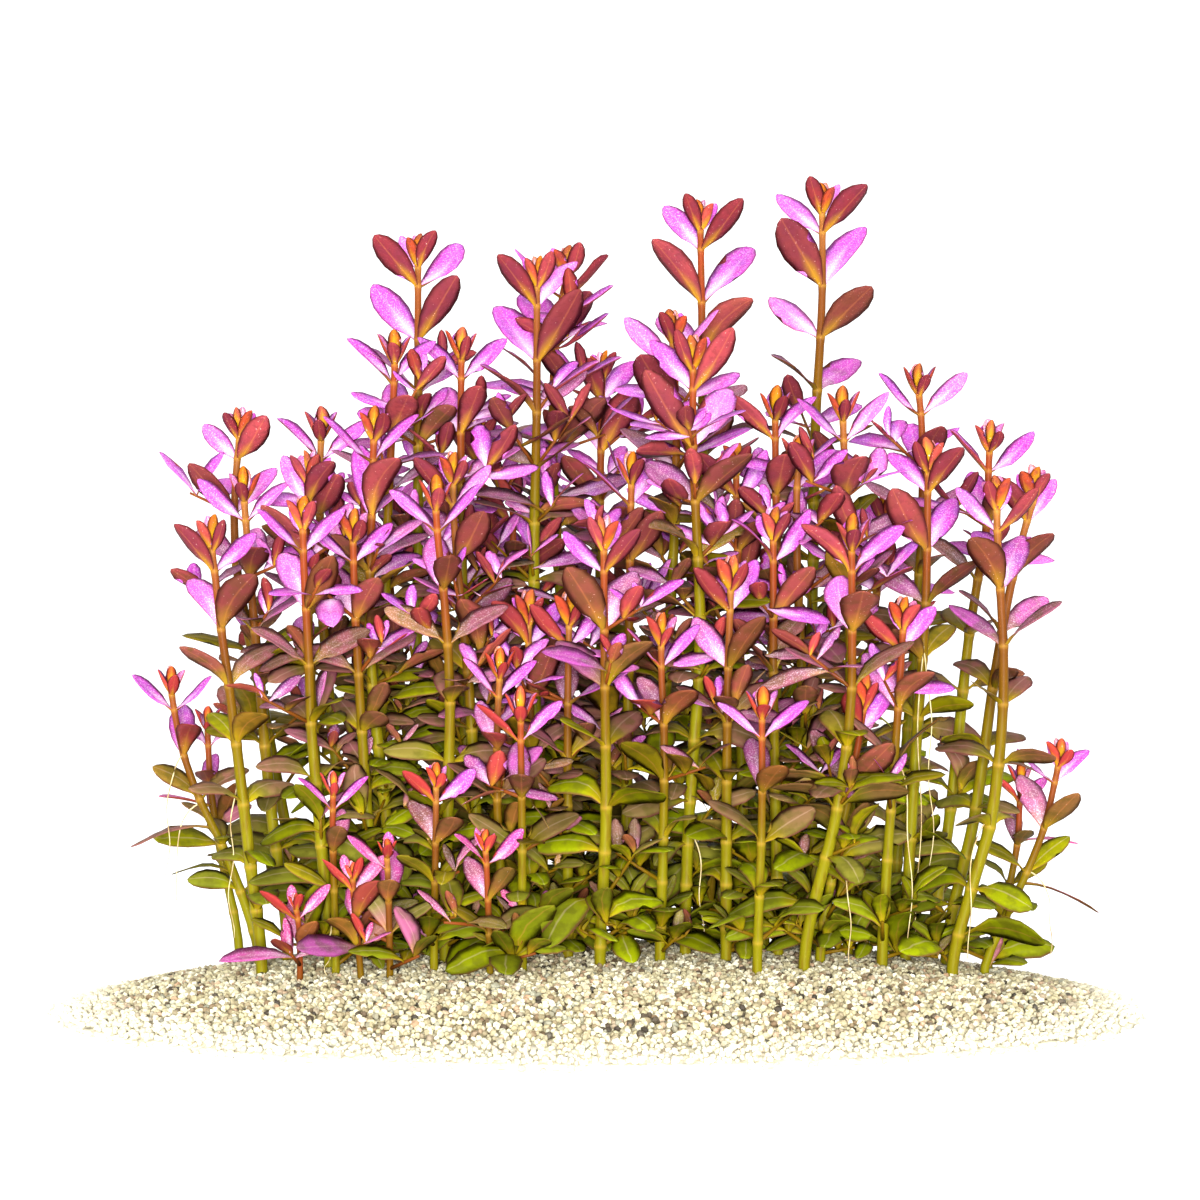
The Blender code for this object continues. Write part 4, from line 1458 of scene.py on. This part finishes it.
@dataclass
class Undergrowth:
    """Older leaves below the solid's own, down to the sand, side shoots and upright branches.

    All of it grows where the thicket has room, and less in front, where the stems show, and at
    the left and right sides. branch_starts gives the heights where branches start, counted from
    above_sand over the foot, and how many start there. foot_shares gives two depths of the stand,
    and the share of the shoots at the foot that grow at each. Leans are in degrees. old_scales
    and old_shares are a least value and what a plant's height or density adds to it.
    """

    thicket: Thicket
    above_sand: float = 3.5 * MM
    leaf_swing: float = 0.3
    rise_spread: float = 10.0
    lengths: Span = (0.75, 1.15)
    depth: float = 50 * MM
    shares_by_depth: tuple[float, float, float] = (0.52, 0.25, 0.95)
    thin_from: float = 56 * MM
    thin_span: float = 24 * MM
    thinning: float = 0.9
    ceilings: Span = (166 * MM, 150 * MM)

    old_step: float = 11 * MM
    old_steps: Span = (0.9, 1.1)
    old_length: float = 19 * MM
    old_rise: float = -2.0
    old_swing: float = 0.25
    old_scales: Span = (0.55, 0.45)
    old_shares: Span = (0.15, 0.85)
    full_height: float = 90 * MM
    set_out: float = 0.6
    drooping: tuple[Droop, ...] = (
        Droop("stem_left_8", 44 * MM, 186, -14, 20 * MM), Droop("stem_left_8", 33 * MM, 172, -4, 15 * MM),
        Droop("stem_left_9", 48 * MM, 196, -6, 15 * MM), Droop("stem_right_6", 31 * MM, -6, -22, 19 * MM),
        Droop("stem_right_7", 40 * MM, 8, -4, 15 * MM), Droop("stem_right_3", 58 * MM, -12, -8, 16 * MM))
    droop_age: float = 0.75
    droop_slimness: float = 0.55

    shoot_width: float = 0.35
    shoot_drop: float = 26 * MM
    shoot_stalk: Span = (4 * MM, 13 * MM)
    shoot_lean: Span = (12.0, 60.0)
    shoot_radius: float = 0.55 * MM
    shoot_stalk_age: float = 0.65
    shoot_fresh: Span = (0.45, 1.1)
    green_heights: Span = (48 * MM, 96 * MM)
    fuller: float = 0.3
    foot_shoots: tuple[float, ...] = (1.5 * MM, 3 * MM, 5.5 * MM, 8 * MM, 11 * MM)
    foot_shares: tuple[Span, Span] = ((-10 * MM, 15 * MM), (0.3, 1.0))
    foot_lean: Span = (0.0, 36.0)
    shoot_pairs: tuple[Pair, ...] = (
        Pair(0.5, 16 * MM, 12, 1.0), Pair(0.85, 12 * MM, 38, 0.8), Pair(1.0, 8 * MM, 64, 0.5))

    branch_depth: float = -3 * MM
    branch_outward: float = 0.5
    branch_tries: int = 40
    branch_starts: tuple[tuple[float, int], ...] = ((0.0, 3), (64 * MM, 1), (92 * MM, 1), (112 * MM, 1))
    branch_length: Span = (34 * MM, 78 * MM)
    branch_drop: float = 24 * MM
    branch_lean: Span = (66.0, 86.0)
    branch_radius: float = 0.95 * MM
    branch_fresh: Span = (0.55, 0.95)
    branch_pairs: tuple[Pair, ...] = (
        Pair(0.3, 15 * MM, 0, 1.0), Pair(0.46, 15 * MM, 5, 0.95), Pair(0.61, 14 * MM, 14, 0.85),
        Pair(0.75, 13 * MM, 26, 0.7), Pair(0.88, 11 * MM, 40, 0.5), Pair(1.0, 8 * MM, 62, 0.3))

    def density(self, plant: Skeleton) -> float:
        """Share of the places that are grown: more at the back, fewer in front."""
        middle, least, most = self.shares_by_depth
        return float(np.clip(middle + plant.foot[1] / self.depth, least, most))

    def ceiling(self, plant: Skeleton) -> float:
        """The greatest height of side shoots and branches, which is less in the right half."""
        return self.ceilings[int(plant.foot[0] > 0)]

    def outward(self, plant: Skeleton) -> float:
        """How far a plant stands at the left or right side of the stand, from 0 to 1."""
        return float(np.clip((abs(plant.foot[0]) - self.thin_from) / self.thin_span, 0, 1))

    def inner_share(self, plant: Skeleton) -> float:
        """What is left of a share at both sides of the stand, where less grows."""
        return 1 - self.thinning * self.outward(plant)

    def drooping_leaves(self, plant: Skeleton) -> list[Seat]:
        """Grow a plant's long drooping leaves.

        Args:
            plant: the plant.

        Returns:
            The leaves that find room.
        """
        found = [self.thicket.leaf(plant.point(droop.height), self.set_out * plant.corner_radius,
                                   math.radians(droop.azimuth), droop.rise, droop.length)
                 for droop in self.drooping if droop.plant == plant.name]
        return [replace(seat, freshness=self.droop_age, slimness=self.droop_slimness)
                for seat in found if seat is not None]

    def old_leaves(self, plant: Skeleton) -> tuple[list[Seat], list[float]]:
        """Grow pairs at the joints between the lowest leaf of the solid and the sand.

        Args:
            plant: the plant.

        Returns:
            The new leaves, and the heights of their joints.
        """
        chance = plant.chance
        seats = self.drooping_leaves(plant)
        heights: list[float] = []
        leafed = [seat.ring for seat in plant.seats]
        order = len(set(leafed))
        height = plant.centres[min(leafed)][2] if leafed else plant.centres[-1][2]
        least, added = self.old_scales
        scale = least + added * min(1.0, plant.tip[2] / self.full_height)
        least, added = self.old_shares
        wanted = (least + added * self.density(plant)) * self.inner_share(plant)
        while True:
            height -= self.old_step * scale * chance.uniform(*self.old_steps)
            if height < plant.foot[2] + self.above_sand:
                return seats, heights
            heights.append(height)
            order += 1
            for half in range(2):
                azimuth = crossed(plant.turn, order, half) + chance.normal(0, self.old_swing)
                rise = self.old_rise + chance.normal(0, self.rise_spread)
                length = self.old_length * scale * chance.uniform(*self.lengths)
                if chance.random() > wanted:
                    continue
                away = self.set_out * plant.corner_radius
                seat = self.thicket.leaf(plant.point(height), away, azimuth, rise, length)
                if seat is not None:
                    seats.append(seat)

    def side_shoots(self, plant: Skeleton, heights: np.ndarray) -> tuple[list[Seat], list[Twig]]:
        """Grow short side shoots at the foot and the joints, fuller ones on the plants at the back.

        Args:
            plant: the plant.
            heights: the joints' heights.

        Returns:
            The shoots' leaves, and their stalks.
        """
        chance = plant.chance
        seats: list[Seat] = []
        twigs: list[Twig] = []
        low = plant.foot[2] + np.array(self.foot_shoots)
        share = self.density(plant) * self.inner_share(plant)
        low_share = self.inner_share(plant) * float(np.interp(plant.foot[1], *self.foot_shares))
        bearing = (plant.drop(heights) > self.shoot_drop) & (heights < self.ceiling(plant))
        scale = 1 + self.fuller * float(np.clip(plant.foot[1] / self.depth, 0, 1))
        for height, half in product(np.concatenate([low, heights[bearing]]), range(2)):
            if chance.random() > (low_share if height in low else share):
                continue
            azimuth = chance.uniform(0, math.pi) + math.pi * half
            lean = self.foot_lean if height in low else self.shoot_lean
            way = heading(azimuth, math.radians(chance.uniform(*lean)))
            start = plant.point(height)
            reach = plant.corner_radius + scale * chance.uniform(*self.shoot_stalk)
            twig = Twig(start, start + way * reach, self.shoot_radius, self.shoot_stalk_age)
            fresh = self.freshness(twig, chance.uniform(*self.shoot_fresh))
            leaves = self.leaves(plant, twig, azimuth, scale, fresh, self.shoot_pairs)
            if len(leaves) > 1:
                seats += leaves
                twigs.append(twig)
        return seats, twigs

    def freshness(self, twig: Twig, fresh: float) -> float:
        """A side shoot's age as a share of its plant's there, raised to the plant's own lower down."""
        low, high = self.green_heights
        return fresh + max(0.0, 1 - fresh) * float(np.clip((high - twig.tip[2]) / (high - low), 0, 1))

    def branches(self, plant: Skeleton) -> tuple[list[Seat], list[Twig]]:
        """Grow upright branches from a plant's foot and higher up, where their stalks have room.

        Args:
            plant: the plant.

        Returns:
            The branches' leaves, and their stalks.
        """
        chance = plant.chance
        seats: list[Seat] = []
        twigs: list[Twig] = []
        if plant.foot[1] < self.branch_depth or self.outward(plant) > self.branch_outward:
            return seats, twigs
        highest = min(plant.tip[2] - self.branch_drop, self.ceiling(plant))
        for height, count in self.branch_starts:
            start = plant.point(plant.foot[2] + self.above_sand + height)
            wanted = len(twigs) + count
            for _ in range(self.branch_tries):
                if len(twigs) == wanted:
                    break
                azimuth = chance.uniform(0, 2 * math.pi)
                way = heading(azimuth, math.radians(chance.uniform(*self.branch_lean)))
                twig = Twig(start, start + way * chance.uniform(*self.branch_length), self.branch_radius, 1.0)
                if twig.tip[2] > highest or not self.thicket.has_room(self.thicket.rod(twig), start[2]):
                    continue
                twigs.append(twig)
                fresh = chance.uniform(*self.branch_fresh)
                seats += self.leaves(plant, twig, azimuth, 1.0, fresh, self.branch_pairs)
        return seats, twigs

    def leaves(self, plant: Skeleton, twig: Twig, azimuth: float, scale: float, fresh: float,
               pairs: tuple[Pair, ...]) -> list[Seat]:
        """The leaves of one side shoot or branch that find room.

        Args:
            plant: the plant.
            twig: the shoot's stalk.
            azimuth: the stalk's direction seen from above.
            scale: the leaves' size.
            fresh: the shoot's age as a share of the plant's there.
            pairs: its pairs of leaves.

        Returns:
            The leaves.
        """
        chance = plant.chance
        grown = []
        for (order, pair), half in product(enumerate(pairs), range(2)):
            turned = crossed(azimuth, order, half) + chance.normal(0, self.leaf_swing)
            rise = pair.rise + chance.normal(0, self.rise_spread)
            length = scale * pair.length * chance.uniform(*self.lengths)
            centre = twig.base + (twig.tip - twig.base) * pair.place
            seat = self.thicket.leaf(centre, 0.0, turned, rise, length)
            if seat is not None:
                grown.append(replace(seat, freshness=fresh * pair.share))
        return grown


@dataclass(frozen=True)
class Root:
    """A hair root: the plant that it hangs from, the joint's height, its length and direction."""

    plant: str
    height: float
    length: float
    azimuth: float


@dataclass
class HairRoots:
    """Hair roots: thin tubes that leave a joint, bend over and hang down in slow waves."""

    roots: tuple[Root, ...] = (
        Root("stem_right_4", 90 * MM, 72 * MM, 250), Root("stem_right_4", 88 * MM, 58 * MM, 280),
        Root("stem_right_12", 62 * MM, 44 * MM, 300), Root("stem_right_1", 48 * MM, 34 * MM, 200),
        Root("stem_left_8", 50 * MM, 24 * MM, 190), Root("stem_left_8", 62 * MM, 30 * MM, 240),
        Root("stem_front_11", 24 * MM, 12 * MM, 260), Root("stem_front_2", 40 * MM, 27 * MM, 20),
        Root("stem_left_1", 58 * MM, 40 * MM, 120), Root("stem_tall_7", 44 * MM, 30 * MM, 300),
        Root("stem_right_6", 34 * MM, 20 * MM, 330), Root("stem_middle_5", 50 * MM, 36 * MM, 230))
    radius: float = 0.17 * MM
    around: int = 5
    steps: int = 22
    reach: float = 6 * MM
    wave: float = 0.7 * MM
    wave_counts: Span = (9, 15)
    wave_starts: Span = (0, 6)
    fall: float = 1.15

    def patches(self, plant: Skeleton, bed: SandBed) -> list[Patch]:
        """Make the hair roots of one plant.

        The root goes out by the reach times 1 - exp(-6t) and down by its length times t to the
        fall, with a sine wave across it that grows as 0.3 + t. Its radius shrinks as 1.15 - 0.5t.

        Args:
            plant: the plant.
            bed: the sand, which the roots stop at.

        Returns:
            A tube for each root.
        """
        chance = plant.chance
        made = []
        t = np.linspace(0, 1, self.steps)
        for root in self.roots:
            if root.plant != plant.name:
                continue
            start = plant.point(root.height)
            out = heading(math.radians(root.azimuth), 0.0)
            beside = np.array([-out[1], out[0], 0.0])
            phase = t * chance.uniform(*self.wave_counts) + chance.uniform(*self.wave_starts)
            swing = self.wave * np.sin(phase) * (0.3 + t)
            path = start + out * (self.reach * (1 - np.exp(-6 * t)))[:, None] + beside * swing[:, None]
            ground = bed.height(path[:, 0], path[:, 1]) + self.radius
            path[:, 2] = np.maximum(start[2] - root.length * t**self.fall, ground)
            values = {"tint": np.full(self.steps, chance.random())}
            made.append(tube(path, self.radius * (1.15 - 0.5 * t), self.around, Skin.ROOT, values))
        return made


@dataclass
class Stand:
    """All the plants of the stand, each made as one piece over its own solid."""

    names: list[str]
    bed: SandBed
    blade: Blade = field(default_factory=Blade)
    small_blade: Blade = field(default_factory=lambda: Blade(sections=6, columns=3, stalk=0.3 * MM))
    stem: StemTube = field(default_factory=StemTube)
    bud: Bud = field(default_factory=Bud)
    growth: Growth = field(default_factory=Growth)
    roots: HairRoots = field(default_factory=HairRoots)
    leaf_width: float = 0.365
    stalk_steps: int = 3
    stalk_around: int = 6
    stalk_taper: float = 0.4
    stalk_tint: float = 0.5

    def build(self) -> list[bpy.types.Object]:
        """Grow every plant.

        Returns:
            The plants' pieces.
        """
        faces = {Skin.UPPER: UPPER_FACE, Skin.UNDER: UNDER_FACE}
        skins = {**faces, Skin.STEM: StemFinish(), Skin.ROOT: RootFinish()}
        finishes = [skins[skin].material() for skin in Skin]
        undergrowth = Undergrowth(Thicket(self.names, self.bed))
        pieces = []
        for order, name in enumerate(self.names):
            patches = self.grow(Skeleton(name, SEED + order), undergrowth)
            pieces.append(make_piece(name.replace("stem", "plant"), patches, finishes, Slot.LEAVES, [name]))
        return pieces

    def grow(self, plant: Skeleton, undergrowth: Undergrowth) -> list[Patch]:
        """Make one plant: its own leaves, what grows between them, its bud, stem and hair roots.

        Args:
            plant: the plant.
            undergrowth: what grows its leaves, shoots and branches beside the solid's own leaves.

        Returns:
            Its stretches of mesh.
        """
        old_seats, old_joints = undergrowth.old_leaves(plant)
        joints = np.unique(np.round([seat.base[2] for seat in plant.seats] + old_joints, 4))
        branch_seats, branches = undergrowth.branches(plant)
        shoot_seats, shoots = undergrowth.side_shoots(plant, joints)
        small_seats = branch_seats + shoot_seats
        leaves = self.foliage(plant, plant.seats + old_seats, self.leaf_width)
        small = self.foliage(plant, small_seats, undergrowth.shoot_width)
        top = max(plant.seats, key=lambda seat: seat.base[2])
        way = top.tip - top.base
        bud = self.bud.leaves(plant, math.atan2(way[1], way[0]))
        stem = self.stem.patch(plant, joints, self.growth, float(plant.chance.random()))
        LOG.info("%s: %d leaves of its solid, %d older ones, %d on side shoots",
                 plant.name, len(plant.seats), len(old_seats), len(small_seats))
        return [self.blade.patch(leaves), self.small_blade.patch(small), self.blade.patch(bud), stem,
                *[self.stalk(plant, twig) for twig in branches + shoots],
                *self.roots.patches(plant, self.bed)]

    def foliage(self, plant: Skeleton, seats: list[Seat], width: float) -> Foliage:
        """Give a plant's leaves their ages and forms.

        Args:
            plant: the plant.
            seats: where the leaves grow.
            width: their usual width as a share of their length.

        Returns:
            The leaves.
        """
        heights = np.array([seat.base[2] for seat in seats])
        fresh = np.array([seat.freshness for seat in seats])
        return Foliage.grown(seats, fresh * self.growth.leaf_age(plant, heights), plant.chance, width)

    def stalk(self, plant: Skeleton, twig: Twig) -> Patch:
        """Make the stalk of a side shoot or branch: a thin straight tube that tapers.

        Args:
            plant: the plant that it grows on.
            twig: the stalk.

        Returns:
            The tube.
        """
        t = np.linspace(0, 1, self.stalk_steps)
        path = twig.base + (twig.tip - twig.base) * t[:, None]
        values = {"age": twig.freshness * self.growth.stem_age(plant, path[:, 2]),
                  "joint": np.zeros(len(t)), "tint": np.full(len(t), self.stalk_tint)}
        return tube(path, twig.radius * (1 - self.stalk_taper * t), self.stalk_around, Skin.STEM, values)


# The studio


@dataclass
class Studio:
    """A plain white floor, soft light from above and in front, and the level camera.

    Each lamp has its place, its size and its power.
    """

    eye: tuple[float, float, float] = (0.0, -0.545, 0.100)
    lens: float = 67.2
    nearest: float = 0.01
    aim: tuple[float, float, float] = (0.0, 0.0, 0.09)
    floor_size: float = 6.0
    sky: float = 1.4
    lamps: tuple[tuple[tuple[float, float, float], float, float], ...] = (
        ((-0.5, -0.8, 0.9), 0.7, 5.0),
        ((0.0, -0.95, 0.11), 0.26, 27.5),
        ((0.0, 0.5, 1.0), 0.9, 3.0))

    def build(self) -> None:
        """Set up the floor, the sky, the lamps and the camera."""
        scene = bpy.context.scene
        scene.view_settings.view_transform = "Standard"
        scene.render.film_transparent = False
        bpy.ops.mesh.primitive_plane_add(size=self.floor_size)
        floor = bpy.context.object
        floor.name = "floor"
        floor.data.materials.append(StageFinish().material())
        floor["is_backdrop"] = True
        world = bpy.data.worlds.new("studio sky")
        world.use_nodes = True
        background = world.node_tree.nodes["Background"]
        background.inputs["Color"].default_value = (1, 1, 1, 1)
        background.inputs["Strength"].default_value = self.sky
        scene.world = world
        for order, (place, size, power) in enumerate(self.lamps):
            self.add_lamp(f"lamp_{order + 1}", place, size, power)
        camera = bpy.data.objects.new("camera", bpy.data.cameras.new("camera"))
        camera.location = self.eye
        camera.rotation_euler = (math.pi / 2, 0, 0)
        camera.data.lens = self.lens
        camera.data.clip_start = self.nearest
        scene.collection.objects.link(camera)
        scene.camera = camera

    def add_lamp(self, name: str, place: tuple[float, float, float], size: float, power: float) -> None:
        """Hang a soft square lamp that faces the middle of the stand.

        Args:
            name: its name.
            place: where it hangs.
            size: its side.
            power: its power in watts.
        """
        lamp = bpy.data.objects.new(name, bpy.data.lights.new(name, "AREA"))
        lamp.data.size = size
        lamp.data.energy = power
        lamp.location = place
        way = Vector(self.aim) - Vector(place)
        lamp.rotation_euler = way.to_track_quat("-Z", "Y").to_euler()
        bpy.context.scene.collection.objects.link(lamp)


def main() -> None:
    """Build the studio, the sand and the plants."""
    logging.basicConfig(level=logging.INFO, format="%(name)s: %(message)s")
    Studio().build()
    low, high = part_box("sand_bed")
    bed = SandBed(half_length=high.x, half_width=0.5 * (high.y - low.y))
    bed.build()
    Grains(bed).build()
    names = sorted(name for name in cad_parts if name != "sand_bed")
    pieces = Stand(names, bed).build()
    LOG.info("%d plants", len(pieces))
    boxes = {"solid": SOLID_BOX, "dressed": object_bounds()}
    {key: [list(corner) for corner in box] for key, box in boxes.items()}


if __name__ == "__main__":
    main()
